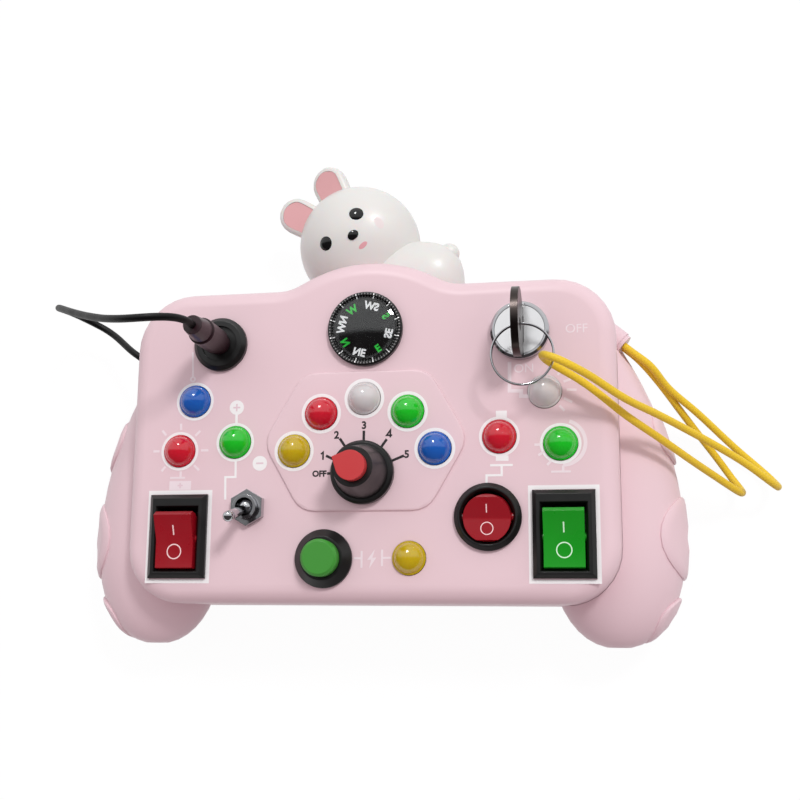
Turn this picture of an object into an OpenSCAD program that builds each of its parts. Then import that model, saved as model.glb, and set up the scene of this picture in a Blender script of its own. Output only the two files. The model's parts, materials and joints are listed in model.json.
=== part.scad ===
// Busy board: a controller-shaped toy panel with switches, lamps, a key lock and a compass.
// It lies on its flat back with the panel up. Millimetres; the origin is the middle of the flat back,
// +X to the right of the panel, +Y towards the rabbit, +Z out of the panel.

/* [Body] */
// Width of the panel
panel_w = 125; // [121:1:140]
// Height of the panel between its straight top and bottom edges
panel_h = 80.8; // [78:0.2:92]
// Depth from the flat back to the panel face
body_h = 36; // [35:0.5:42]
// Wall thickness of both shells
wall = 2.4; // [1.8:0.1:2.8]
// Height of the parting line above the back
parting_z = 20; // [18:0.5:21.5]
// Corner radius at the top of the panel
top_corner_r = 15; // [12:0.5:17]
// Corner radius at the bottom of the panel
bottom_corner_r = 14; // [11:0.5:16]
// Rounding of the panel's edge
edge_r = 4.5; // [3:0.5:6]
// Rounding of the edge round the back
back_edge_r = 6; // [3:0.5:7]
// Rise of the hump in the middle of the top side
hump_rise = 6.6; // [4:0.2:8]
// Radius of the hump
hump_r = 36; // [30:1:42]
// Radius of the hollow flare at each side of the hump
hump_flare_r = 12; // [8:1:14]

/* [Grips] */
// How far each grip stands out beyond the panel's side at its widest
grip_reach = 15.7; // [13:0.1:20]
// How far each grip goes in under the panel
grip_tuck = 18.5; // [16:0.5:21]
// Height of a grip from front to back
grip_depth = 27; // [24:0.5:27.5]
// Gap between the grip and the plane of the back
grip_lift = 0.5; // [0.3:0.1:2]
// Distance from the panel's middle down to the widest place
grip_widest = 24; // [20:1:28]
// Length of the rounded end below the widest place
grip_end = 26.8; // [24:0.2:30]
// Height of the finger pads on the grips
pad_rise = 0.9; // [0.5:0.1:1.2]

/* [Island] */
// Rise of the six-sided island over the panel
island_rise = 0.8; // [0.4:0.1:1.2]
// Width of the island between its side corners
island_w = 52.6; // [50:0.2:58]
// Width of the island's flat top and bottom sides
island_flat = 32.4; // [28:0.2:38]
// Height of the island
island_h = 35.4; // [34:0.2:40]

/* [Lamps] */
// Diameter of a lamp's lens
lamp_d = 8.3; // [7:0.1:9]
// Height of the dome over the panel
lamp_rise = 3.4; // [2:0.1:4]
// Radius of the arc of lamps round the knob
lamp_arc_r = 18.8; // [18:0.2:21]

/* [Knob] */
// Distance of the knob below the panel's middle
knob_drop = 8.5; // [7:0.5:10]
// Diameter of the skirt
knob_d = 15.8; // [14.5:0.1:18]
// Height of the black body
knob_h = 12; // [10:0.5:15]
// Height of the red pointer cap
pointer_h = 2.6; // [1.5:0.1:4]
// Direction of the pointer at rest, anticlockwise from the right
pointer_angle = 155; // [25:1:180]

/* [Rockers] */
// Width of a rectangular bezel
rocker_w = 15; // [14:0.5:17]
// Height of a rectangular bezel
rocker_h = 21; // [19:0.5:24]
// Distance from the panel's side to the middle of a rectangular rocker
rocker_inset = 14.1; // [13:0.1:15]
// Distance from the panel's bottom edge to the middle of a rectangular rocker
rocker_rise = 16.6; // [15:0.2:20]
// Diameter of the round bezel
round_d = 16.4; // [15:0.2:18]
// Half of the angle that a paddle tips through
rocker_swing = 11; // [8:0.5:12]
// Height of a bezel over the panel
bezel_h = 2; // [1.5:0.1:2.6]

/* [Button] */
// Diameter of the bezel
button_d = 14.4; // [13.5:0.1:16]
// Diameter of the cap
button_cap_d = 9.1; // [8:0.1:9.6]
// Height of the cap over its bezel
button_proud = 3; // [3:0.1:5]
// Travel of the cap
button_travel = 2.6; // [1.5:0.1:2.8]

/* [Toggle] */
// Size of the hexagon nut across its flats
toggle_nut_af = 8; // [7.5:0.1:9]
// Length of the lever from its pivot to the middle of its tip
toggle_lever_l = 11.2; // [9:0.2:14]
// Half of the angle that the lever flips through
toggle_swing = 17; // [12:0.5:18]

/* [Socket and plug] */
// Diameter of the socket's flange
socket_d = 14; // [13:0.1:16]
// Diameter of the plug's handle
plug_d = 6.8; // [6:0.1:8]
// Diameter of the plug's metal sleeve
sleeve_d = 5.5; // [5:0.1:5.6]

/* [Lock and key] */
// Diameter of the lock's bezel
lock_d = 14.5; // [14:0.1:17]
// Diameter of the key's bow
bow_d = 16.8; // [14:0.2:20]
// Thickness of the key
key_t = 1.8; // [1.4:0.1:2.2]
// Radius of the key ring at the middle of its wire
ring_r = 7.4; // [7.4:0.1:9]
// Diameter of the ring's wire
ring_wire_d = 0.55; // [0.5:0.05:0.8]

/* [Compass] */
// Outer diameter of the compass
compass_d = 19.2; // [18:0.2:21]
// Rise of the clear dome over the case
dome_rise = 2.4; // [1.5:0.1:3.5]

/* [Figure] */
// Radius of the rabbit's head
head_r = 16.6; // [15:0.2:18]
// Distance from the head's middle to the middle of an ear's paddle
ear_reach = 20.8; // [20:0.2:23]

/* [Hidden] */
$fn = 64;
pink = [0.89, 0.75, 0.79];
black = [0.14, 0.14, 0.15];
steel = [0.78, 0.78, 0.8];
brass = [0.8, 0.66, 0.34];
red = [0.7, 0.1, 0.14];
green = [0.12, 0.58, 0.16];
blue = [0.15, 0.33, 0.7];
yellow = [0.82, 0.68, 0.12];
clear = [0.86, 0.86, 0.86];
white = [0.95, 0.95, 0.94];
board_green = [0.1, 0.4, 0.24];

// Clearances
fit = 0.05;
slip = 0.1;
ease = 0.3;
room = 0.6;

// Levels through the depth of the body
inner_z = body_h - wall;
island_z = body_h + island_rise;
board_t = 1.6;
board_z = inner_z - 9.6;
board_top = board_z + board_t;
switch_z = parting_z;

// Outline of the body: straight sides, four round corners and the hump
side_x = panel_w / 2;
top_y = panel_h / 2;
hump_y = top_y + hump_rise - hump_r;
flare_x = sqrt(pow(hump_r + hump_flare_r, 2) - pow(hump_r + hump_flare_r - hump_rise, 2));
hump_half_angle = asin(flare_x / (hump_r + hump_flare_r));
corner_steps = 8;
flare_steps = 3;
hump_steps = 10;
edge_steps = 5;

// Places of the controls on the panel
knob_at = [0, -knob_drop];
island_at = knob_at + [0, 8.25];
rocker_y = -top_y + rocker_rise;
rocker_shift = 0.6;
left_rocker_at = [-side_x + rocker_inset + rocker_shift, rocker_y];
right_rocker_at = [side_x - rocker_inset + rocker_shift, rocker_y];
round_rocker_at = [side_x - 31.7, -top_y + 20.8];
toggle_at = [-side_x + 32.9, -top_y + 23.6];
button_at = [-9.8, -top_y + 10.9];
socket_at = [-side_x + 24.2, top_y - 14.8];
lock_at = [side_x - 23.4, top_y - 14.2];
compass_at = [0, island_at.y + island_h / 2 + compass_d / 2 + 1.2];

// Places of the lamps
mid_lamp_y = rocker_y + rocker_h / 2 + 11.3;
high_lamp = [side_x - 17.6, mid_lamp_y + 0.457 * (lock_at.y - mid_lamp_y)];
mid_lamp = [side_x - 14, mid_lamp_y];
near_lamp = [side_x - 28.8, mid_lamp_y + 2];
low_lamp = [11.5, -top_y + 11];
function arc_lamp(angle) = knob_at + lamp_arc_r * [cos(angle), sin(angle)];
function left(spot) = [-spot.x, spot.y];
red_flat = [left(mid_lamp), near_lamp];
green_flat = [mid_lamp, left(near_lamp)];
blue_flat = [left(high_lamp)];
yellow_flat = [low_lamp];
clear_flat = [high_lamp];
arc_angles = [18, 54, 90, 126, 162];

// Lamp lens
lamp_r = lamp_d / 2;
lamp_flange_r = lamp_r + 0.7;
lamp_flange_t = 1.4;
lamp_base_r = lamp_r - 0.5;
lamp_rim = 0.4;
lamp_rim_h = 0.6;

// Screws
screw_r = 1.1;
screw_head_r = 2.2;
screw_head_t = 2;
shell_screw_seat = 10;
shell_screw_bite = 8;
boss_r = 3;
board_boss_r = 2.3;
low_screw_x = side_x - rocker_inset - rocker_shift - rocker_w / 2 - boss_r + 0.6;
shell_screw_at = [
    for (s = [-1, 1])
        each [[s * 22, top_y - 6.4], [s * (side_x - 5.5), -5], [s * low_screw_x, -top_y + 6.5]]
];
board_screw_at = [
    for (s = [-1, 1])
        each [[s * (side_x - 8.5), top_y - 11.4], [s * 21.5, -top_y + 6.4]]
];

// Battery bay in the lower half of the back
cell_r = 5.25;
cell_l = 44.5;
cell_gap = 0.7;
bay_l = 51;
bay_w = 4 * cell_r + 3 * cell_gap;
bay_y = -20;
bay_wall = 1.6;
door_t = 1.8;
door_lap = 2.8;
door_ear = 6.5;
cell_z = door_t + ease + cell_r;
bay_z = cell_z + cell_r + cell_gap;
contact_t = 0.4;
spring_wire = 0.5;
door_screw_x = bay_l / 2 + door_lap + door_ear / 2;

// Rocker switches
rocker_wall = 2.35;
rocker_end_wall = 2.8;
rocker_drop = 0.7;
paddle_side = 0.3;
rocker_body_w = rocker_w - 2;
rocker_body_h = rocker_h - 2;
rocker_open_w = rocker_w - 2 * rocker_wall;
rocker_open_h = rocker_h - 2 * rocker_end_wall;
paddle_w = rocker_open_w - 2 * paddle_side;
paddle_pivot_z = body_h + 0.2;
paddle_centre = bezel_h + 0.6;
paddle_waist = 2.2;
bezel_slope = 0.8;
pivot_r = 1;
rocker_floor = 8;
paddle_l = rocker_open_h - 0.9;
round_body_r = round_d / 2 - 0.9;
round_open_r = round_d / 2 - 2;
round_paddle_r = round_open_r - 0.45;

// Button
button_barrel_r = button_d / 2 - 1.2;
button_lip_z = body_h - 1;
button_bore_r = button_cap_d / 2 + fit + 0.75;
button_floor_z = switch_z + 4;
button_bezel_h = 3;
button_flange_t = 2;
button_seat_h = max(edge_r - wall, 0.6);
button_seat_z = inner_z - button_seat_h;

// Toggle
toggle_turn = -16;
bushing_r = 3;
bushing_bore = 2.3;
bushing_h = 3.8;
toggle_pivot_z = body_h + 1.6;
toggle_body_h = 9.5;
toggle_tip_r = 1.4;
toggle_pin_r = 0.5;
toggle_pin_l = 2 * bushing_bore + 0.8;

// Rotary switch
shaft_r = 3;
rotary_r = 10;
rotary_bushing_r = 3.8;
rotary_nut_af = 10;
rotary_nut_h = 1.8;
knob_gap = 0.4;
knob_z = island_z + knob_gap;
skirt_h = 2.2;
pointer_r = 3.6;
pointer_tip = 4.9;

// Socket and plug
socket_thread_r = 5.5;
socket_flange_h = 2.2;
socket_pin_r = 1;
socket_floor = 4;
sleeve_depth = 11;
sleeve_room = 1.4;
plug_neck_h = 2.6;
plug_body_h = 10.8;
plug_boot_h = 5.5;
plug_z = body_h + socket_flange_h + 0.2;
plug_boot_z = plug_z + plug_neck_h + plug_body_h;
socket_floor_z = plug_z - sleeve_depth - sleeve_room;
socket_z = socket_floor_z - socket_floor;

// Lock and key
lock_thread_r = 6;
lock_flange_h = 2.6;
lock_face_r = lock_d / 2 - 1.1;
lock_face_t = 1.2;
lock_plug_r = 4.5;
lock_floor_z = switch_z + 2;
keyway_w = 6.4;
bow_z = body_h + lock_flange_h + 7.2;
ring_z = bow_z + 1.7;
ring_eye_r = 1.7;
ring_from_lock = [1.3, -8.45];
nut_h = 2.4;
lock_nut_af = 2 * lock_thread_r + 2;
socket_nut_af = 2 * socket_thread_r + 3;

// Compass
compass_r = compass_d / 2;
compass_rim = 0.9;
compass_wall = 1.2;
compass_depth = 6;
compass_seat_z = body_h + 1.4;
card_r = compass_r - compass_rim - compass_wall;
card_t = 0.8;
card_z = body_h - 0.2;
pivot_pin_r = 0.5;

// Rabbit lying along the top side, face up
head_at = [-6, top_y + 16.3, max(body_h - 19, head_r + 0.4)];
torso_at = [8.9, top_y + 5, body_h - 18];
torso_l = 27.8;
torso_w = 22.4;
tail_at = [19, top_y + 12.4, body_h - 16.5];
ear_r = 5;
ear_t = 4.2;
ear_rim = 1.3;
ear_angles = [151, 115.6];
ear_rolls = [-8, -20];
eye_directions = [[-150, 65], [60, 74]];
nose_direction = [-52, 81];
eye_r = 1.85;
eye_dome = 3.5;
eye_proud = 0.45;
nose_half = [1.15, 1.5];
nose_dome = 2.6;
nose_proud = 0.6;
plug_sink = 1.2;
figure_peg_r = 2.5;
figure_peg_at = [5, body_h - 11];

// Grommets where the two cords go back into the body: x, y, z of the outer face and the way it points
grommet_r = 2.4;
grommet_flange_r = 3;
grommet_flange_t = 1;
grommet_stem = 7;
cord_exit = [side_x + 1.8, top_y - 14.4, parting_z - 3, -40];
lead_exit = [-side_x - 3.7, top_y - 14.4, parting_z - 3, 147];

// Routes of the two cords
cord_d = 1.9;
lead_d = 1.9;
cord_sides = 8;
lead_route = [
    [-38.3, 25.6, 57.45], [-38.3, 25.6, 60.2], [-39.6, 25.5, 64.3], [-42.55, 25.1, 67.2], [-46.6, 24.8, 68.25],
    [-50.9, 25, 67.3], [-55.2, 25.8, 64.7], [-60, 27.2, 60.6], [-65.4, 29.2, 55.4], [-71.2, 31.6, 49.4],
    [-77.4, 34.4, 42.7], [-83.2, 37.2, 36], [-88, 39.6, 29.6], [-90.8, 41.2, 23.2], [-90.4, 41.6, 17.4],
    [-87.4, 40.4, 12.7], [-83, 38.1, 11], [-78.2, 34.8, 12.4], [-74.2, 31.6, 14.9], [-70.9, 29.1, 16.6],
    [-68.6, 27.56, 17], [-66.28, 26.05, 17]
];
cord_route = [
    [64.38, 25.94, 18.3], [67, 23.73, 18.3], [71, 20.4, 17.8], [74.3, 16.5, 14.8], [81.4, 10.5, 10],
    [88.5, 4.3, 5.6], [94.1, -0.7, 2.8], [98.1, -4.3, 2], [100.9, -7.3, 2.8], [102.1, -9.4, 5.6],
    [101.6, -10.1, 9.6], [99.5, -9.1, 12.6], [95, -6.1, 15.8], [87.5, -1.9, 20.6], [79, 1.9, 27.6],
    [70.4, 5.2, 35.8], [63.3, 7.8, 42.6], [55.8, 12, 48.4], [52.3, 13.6, 51], [48.7, 15.4, 51.6],
    [46.1, 16.7, 50.1], [45.1, 17.3, 47], [46.1, 16.7, 44.3], [48.7, 15.2, 42.7], [52.7, 12.9, 41.6],
    [57.4, 9.5, 40.6], [63.3, 5, 37.2], [70.8, 0.5, 31], [79.6, -4.6, 22.4], [86.2, -8.2, 15.6],
    [90.3, -10.5, 12], [92.8, -11.5, 8.6], [93.3, -10.5, 4.8], [91.8, -7.7, 2.3], [89, -3.4, 2.2],
    [84.7, 2.3, 4.4], [79.4, 9, 8.2], [70.4, 20.1, 15.1], [67, 23.73, 15.7], [64.38, 25.94, 15.7]
];

// Points and lofts

function total(list, i = 0) = i == len(list) - 1 ? list[i] : list[i] + total(list, i + 1);
function middle(ring) = total(ring) / len(ring);
function unit(v) = v / norm(v);
function arc(centre, r, from, to, steps) =
    [for (i = [0 : steps]) centre + r * [cos(from + (to - from) * i / steps), sin(from + (to - from) * i / steps)]];
function inside(list) = [for (i = [1 : len(list) - 2]) list[i]];
function lift(ring, z) = [for (p = ring) [p.x, p.y, z]];

// Outline of the body, moved in by d
function outline(d) = concat(
    arc([side_x - bottom_corner_r, bottom_corner_r - top_y], bottom_corner_r - d, -90, 0, corner_steps),
    arc([side_x - top_corner_r, top_y - top_corner_r], top_corner_r - d, 0, 90, corner_steps),
    arc([flare_x, top_y + hump_flare_r], hump_flare_r + d, 270, 270 - hump_half_angle, flare_steps),
    inside(arc([0, hump_y], hump_r - d, 90 - hump_half_angle, 90 + hump_half_angle, hump_steps)),
    arc([-flare_x, top_y + hump_flare_r], hump_flare_r + d, 270 + hump_half_angle, 270, flare_steps),
    arc([top_corner_r - side_x, top_y - top_corner_r], top_corner_r - d, 90, 180, corner_steps),
    arc([bottom_corner_r - side_x, bottom_corner_r - top_y], bottom_corner_r - d, 180, 270, corner_steps)
);

// Six-sided island with round corners, moved in by d
function island_corner(i) =
    island_at + [
        [island_flat / 2, -island_h / 2], [island_w / 2, 0], [island_flat / 2, island_h / 2],
        [-island_flat / 2, island_h / 2], [-island_w / 2, 0], [-island_flat / 2, -island_h / 2]
    ][i];
function toward(a, b, d) = a + d * unit(b - a);
function island_ring(d) = [
    for (i = [0 : 5])
        let (
            p = island_corner(i),
            a = toward(p, island_corner((i + 5) % 6), 4),
            b = toward(p, island_corner((i + 1) % 6), 4),
            c = island_at
        )
            each [for (t = [0 : 0.25 : 1]) let (q = (1 - t) * (1 - t) * a + 2 * t * (1 - t) * p + t * t * b) toward(q, c, d)]
];

// Closed solid through rings of points that run anticlockwise seen from the last ring
module skin(rings) {
    n = len(rings[0]);
    m = len(rings);
    last = (m - 1) * n;
    polyhedron(
        points = concat([for (r = rings) each r], [middle(rings[0]), middle(rings[m - 1])]),
        faces = concat(
            [for (j = [0 : m - 2], i = [0 : n - 1]) [j * n + i, (j + 1) * n + i, (j + 1) * n + (i + 1) % n]],
            [for (j = [0 : m - 2], i = [0 : n - 1]) [j * n + i, (j + 1) * n + (i + 1) % n, j * n + (i + 1) % n]],
            [for (i = [0 : n - 1]) [i, (i + 1) % n, m * n]],
            [for (i = [0 : n - 1]) [last + (i + 1) % n, last + i, m * n + 1]]
        )
    );
}

// Round tube along a list of points; across is a direction that the route never runs along
function run(route, i) = unit(route[min(i + 1, len(route) - 1)] - route[max(i - 1, 0)]);
module tube(route, d, sides, across) {
    skin([
        for (i = [0 : len(route) - 1])
            let (t = run(route, i), u = unit(cross(across, t)), v = cross(t, u))
                [for (k = [0 : sides - 1]) route[i] + d / 2 * (cos(360 * k / sides) * u + sin(360 * k / sides) * v)]
    ]);
}

// Coil spring standing on the plane z = 0, with the outside radius r at its foot and top_r at its top
module coil(r, top_r, h, turns, wire) {
    rings = turns * 8;
    skin([
        for (i = [0 : rings])
            let (a = 45 * i, f = i / rings, m = r + (top_r - r) * f - wire / 2, z = wire / 2 + (h - wire) * f)
                [for (k = [0 : 5]) [cos(a) * (m + wire / 2 * cos(60 * k)), sin(a) * (m + wire / 2 * cos(60 * k)),
                    z - wire / 2 * sin(60 * k)]]
    ]);
}

// Small shared shapes

module spot(at, z = 0) {
    translate([at.x, at.y, z]) children();
}
module rounded(w, h, r) {
    square([w - 2 * r, h], center = true);
    square([w, h - 2 * r], center = true);
    for (x = [-1, 1], y = [-1, 1])
        translate([x * (w / 2 - r), y * (h / 2 - r)]) circle(r);
}
module block(w, h, z0, z1) {
    translate([-w / 2, -h / 2, z0]) cube([w, h, z1 - z0]);
}
module disc(r, z0, z1) {
    translate([0, 0, z0]) cylinder(r = r, h = z1 - z0);
}
module hex_nut(af, bore_r, z0, z1, turn = 0) {
    difference() {
        rotate(turn) translate([0, 0, z0]) cylinder(r = af / sqrt(3), h = z1 - z0, $fn = 6);
        disc(bore_r, z0 - 1, z1 + 1);
    }
}

// Shells

module body_prism(d, z0, z1) {
    skin([lift(outline(d), z0), lift(outline(d), z1)]);
}
module front_form() {
    rounding = [for (k = [0 : edge_steps]) 90 * k / edge_steps];
    skin(concat(
        [lift(outline(0), parting_z)],
        [for (a = rounding) lift(outline(edge_r * (1 - cos(a))), body_h - edge_r * (1 - sin(a)))]
    ));
}
module front_cavity() {
    e = max(edge_r - wall, 0.6);
    skin([
        lift(outline(wall), parting_z - 1), lift(outline(wall), inner_z - e),
        lift(outline(wall + 0.3 * e), inner_z - 0.3 * e), lift(outline(wall + e), inner_z)
    ]);
}
module island() {
    skin([
        lift(island_ring(0), inner_z + 0.5), lift(island_ring(0), body_h),
        lift(island_ring(0.25), body_h + 0.7 * island_rise), lift(island_ring(0.8), island_z)
    ]);
}
module panel_holes() {
    for (p = concat(red_flat, green_flat, blue_flat, yellow_flat, clear_flat, [for (a = arc_angles) arc_lamp(a)]))
        spot(p) disc(lamp_r + slip, inner_z - 1, island_z + 1);
    for (p = [left_rocker_at, right_rocker_at])
        spot(p) block(rocker_body_w + 2 * slip, rocker_body_h + 2 * slip, inner_z - 1, body_h + 1);
    spot(round_rocker_at) disc(round_body_r + slip, inner_z - 1, body_h + 1);
    spot(button_at) disc(button_barrel_r + slip, button_seat_z - 1, body_h + 1);
    spot(toggle_at) disc(bushing_r + slip, inner_z - 1, body_h + 1);
    spot(socket_at) disc(socket_thread_r + slip, inner_z - 1, body_h + 1);
    spot(lock_at) disc(lock_thread_r + slip, inner_z - 1, body_h + 1);
    spot(compass_at) disc(compass_r - compass_rim + slip, inner_z - 1, body_h + 1);
    spot(knob_at) disc(rotary_bushing_r + slip, inner_z - 1, island_z + 1);
}
module figure_peg(r) {
    translate([figure_peg_at.x, top_y - 4, figure_peg_at.y]) rotate([-90, 0, 0]) cylinder(r = r, h = hump_rise + 8);
}
module front_shell() {
    color(pink) difference() {
        union() {
            difference() {
                front_form();
                front_cavity();
            }
            island();
            for (p = shell_screw_at) spot(p) disc(boss_r, parting_z, inner_z + 0.5);
            for (p = board_screw_at) spot(p) disc(board_boss_r, board_top, inner_z + 0.5);
            spot(button_at) disc(button_barrel_r + 1.6, button_seat_z, inner_z + 0.5);
        }
        panel_holes();
        for (p = shell_screw_at) spot(p) disc(screw_r + fit, parting_z - 1, parting_z + shell_screw_bite + 1);
        for (p = board_screw_at) spot(p) disc(screw_r + fit, board_top - 1, board_top + 6);
        figure_peg(figure_peg_r + fit);
    }
}

// One grip: sections across the grip, each an oval, at places y along it.
// The outer side bows out to its widest place and the lower end is a rounded lobe.
grip_out = side_x + grip_reach;
grip_in = side_x - grip_tuck;
grip_z = grip_lift + grip_depth / 2;
grip_top_y = 26;
grip_top_cap = 9;
grip_bow = grip_reach - 1.2;
lobe = 2.2;
function grip_outer(y) = grip_out - grip_bow * pow((y + grip_widest) / (grip_top_y + grip_widest), 2);
function lobe_share(y) = pow(max(1 - pow(max(-grip_widest - y, 0) / grip_end, lobe), 0), 1 / lobe);
function cap_share(y) = sqrt(max(1 - pow(max(y - grip_top_y, 0) / grip_top_cap, 2), 0));
function grip_share(y) = lobe_share(y) * cap_share(y);
function bowed(y) = y > -grip_widest ? grip_outer(min(y, grip_top_y)) : grip_out;
function grip_half_w(y) = (bowed(y) - grip_in) / 2 * grip_share(y);
function grip_mid_x(y) = (bowed(y) + grip_in) / 2;
function slim(y) = 1 - 0.3 * pow(max(y + grip_widest, 0) / (grip_top_y + grip_widest), 2);
function grip_half_h(y) = grip_depth / 2 * slim(y) * grip_share(y);
function grip_point(y, angle, out) = [
    grip_mid_x(y) + (grip_half_w(y) + out) * cos(angle), y, grip_z + (grip_half_h(y) + out) * sin(angle)
];
function grip_places(n) = concat(
    [for (i = [1 : n]) -grip_widest - grip_end * cos(90 * i / (n + 1))],
    [for (i = [0 : n - 1]) -grip_widest + (grip_top_y + grip_widest) * i / n],
    [for (i = [0 : 3]) grip_top_y + grip_top_cap * sin(80 * i / 3)]
);
module grip(n, around, out) {
    skin([for (y = grip_places(n)) [for (k = [0 : around - 1]) grip_point(y, -360 * k / around, out)]]);
}
// Raised oval pad on the grip's outer side, half_y long each way and spread degrees round it
module finger_pad(y, half_y, spread) {
    function ring(share, out) = [
        for (k = [0 : 23])
            grip_point(y - half_y * share * sin(15 * k), spread * share * cos(15 * k), out)
    ];
    skin([ring(1, -1.2), ring(1, 0.4 * pad_rise), ring(0.94, 0.85 * pad_rise), ring(0.8, pad_rise), ring(0.3, pad_rise)]);
}
module right_grip() {
    grip(10, 32, 0);
    finger_pad(2.6, 7.4, 36);
    finger_pad(-23.5, 10.5, 52);
    finger_pad(-43.8, 5.6, 38);
}
module tub_form() {
    rounding = [for (k = [0 : edge_steps]) 90 * k / edge_steps];
    skin(concat(
        [for (a = rounding) lift(outline(back_edge_r * (1 - sin(a))), back_edge_r * (1 - cos(a)))],
        [lift(outline(0), parting_z)]
    ));
}
module tub_cavity() {
    e = max(back_edge_r - wall, 0.6);
    skin([
        lift(outline(wall + e), wall), lift(outline(wall + 0.3 * e), wall + 0.3 * e),
        lift(outline(wall), wall + e), lift(outline(wall), parting_z + 1)
    ]);
}
module at_exit(exit) {
    translate([exit.x, exit.y, exit.z]) rotate(exit[3]) rotate([0, 90, 0]) children();
}
module grommet_seat(exit) {
    at_exit(exit) disc(grommet_flange_r + 0.4, -grommet_stem, -grommet_flange_t);
}
module grommet_hole(exit) {
    at_exit(exit) disc(grommet_r + fit, -2 * grommet_stem, 0);
    at_exit(exit) disc(grommet_flange_r + slip, -grommet_flange_t, grommet_stem);
}
module both_sides() {
    children();
    mirror([1, 0, 0]) children();
}
module rear_shell() {
    color(pink) difference() {
        union() {
            difference() {
                union() {
                    tub_form();
                    both_sides() right_grip();
                    grommet_seat(cord_exit);
                    grommet_seat(lead_exit);
                }
                tub_cavity();
                both_sides() grip(6, 16, -wall);
                body_prism(-slip, parting_z, body_h + 1);
            }
            for (p = shell_screw_at) spot(p) disc(boss_r + 0.2, wall / 2, parting_z);
            spot([0, bay_y]) block(bay_l + 2 * bay_wall, bay_w + 2 * bay_wall, wall / 2, bay_z + bay_wall);
            spot([door_screw_x, bay_y]) disc(2.6, wall / 2, 9);
        }
        for (p = shell_screw_at) {
            spot(p) disc(screw_head_r + slip, -1, shell_screw_seat);
            spot(p) disc(screw_r + slip, 0, parting_z + 1);
        }
        grommet_hole(cord_exit);
        grommet_hole(lead_exit);
        spot([0, bay_y]) block(bay_l, bay_w, -1, bay_z);
        door_plate(slip, -1, door_t);
        spot([door_screw_x, bay_y]) disc(0.9 + fit, 0, 8);
    }
}
module shell_screws() {
    color(steel) for (p = shell_screw_at)
        spot(p) union() {
            disc(screw_head_r, shell_screw_seat - screw_head_t, shell_screw_seat);
            disc(screw_r, shell_screw_seat - 1, parting_z + shell_screw_bite);
        }
}

// Battery bay

module door_plate(grow, z0, z1) {
    translate([door_ear / 2, bay_y, z0]) linear_extrude(z1 - z0)
        rounded(bay_l + 2 * door_lap + door_ear + 2 * grow, bay_w + 2 * door_lap + 2 * grow, 2.5);
}
module battery_door() {
    color(pink) difference() {
        door_plate(0, 0, door_t);
        spot([door_screw_x, bay_y]) disc(2.1, -1, 1);
        spot([door_screw_x, bay_y]) disc(1.2, -1, door_t + 1);
        for (i = [0 : 4]) translate([-14 + 3 * i, bay_y, -0.5]) block(1.2, 14, 0, 1);
    }
}
module battery_door_screw() {
    color(steel) spot([door_screw_x, bay_y]) {
        disc(2, 0.1, 1);
        disc(0.9, 0.5, 7.5);
    }
}
module at_cells() {
    for (s = [-1, 1]) translate([0, bay_y + s * (cell_r + cell_gap / 2), cell_z]) rotate([0, s * 90, 0]) children();
}
module battery_cells() {
    color(steel) at_cells() {
        disc(cell_r, -cell_l / 2, cell_l / 2 - 0.8);
        disc(1.9, -cell_l / 2 + 1, cell_l / 2);
    }
}
module battery_contacts() {
    color(steel) at_cells() {
        block(8, 8, bay_l / 2 - contact_t, bay_l / 2);
        disc(1.5, cell_l / 2, bay_l / 2 - contact_t / 2);
        block(8, 8, -bay_l / 2, -bay_l / 2 + contact_t);
    }
}
module battery_springs() {
    color(steel) at_cells() translate([0, 0, -bay_l / 2 + contact_t])
        coil(3.6, 2.4, (bay_l - cell_l) / 2 - contact_t, 2.5, spring_wire);
}

// Circuit board under the panel, cut out round every switch body

module board_cutouts() {
    for (p = [left_rocker_at, right_rocker_at])
        translate([p.x - rocker_body_w / 2 - room, -top_y])
            square([rocker_body_w + 2 * room, top_y + p.y + rocker_body_h / 2 + room]);
    translate(round_rocker_at) circle(round_body_r + room);
    translate(button_at) circle(button_barrel_r + room);
    translate(toggle_at) circle(8.5);
    translate(socket_at) circle(socket_thread_r + room);
    translate(lock_at) circle(lock_thread_r + room);
    translate(knob_at) circle(rotary_r + room);
    for (p = shell_screw_at) translate(p) circle(boss_r + room);
    for (p = board_screw_at) translate(p) circle(screw_r + slip);
}
module circuit_board() {
    color(board_green) translate([0, 0, board_z]) linear_extrude(board_t)
        difference() {
            rounded(panel_w - 2 * wall - 6, panel_h - 2 * wall - 4, 11);
            board_cutouts();
        }
}
module board_screws() {
    color(steel) for (p = board_screw_at)
        spot(p) union() {
            disc(screw_head_r, board_z - 1.4, board_z);
            disc(screw_r, board_z - 1, board_top + 5);
        }
}

// Rabbit figure

module on_head(direction) {
    translate(head_at) rotate([0, 90 - direction[1], direction[0]]) children();
}
module domed(dome, proud) {
    intersection() {
        children();
        translate([0, 0, head_r + proud - dome]) sphere(dome);
    }
}
module nose_prism(grow) {
    translate([0, 0, head_r - plug_sink]) linear_extrude(plug_sink + 2) polygon([
        for (k = [0 : 23]) [(nose_half.x + grow) * cos(15 * k), (nose_half.y + grow) * sin(15 * k)]
    ]);
}
module at_ears() {
    for (i = [0, 1]) translate(head_at) rotate(ear_angles[i]) rotate([ear_rolls[i], 0, 0]) children();
}
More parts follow.
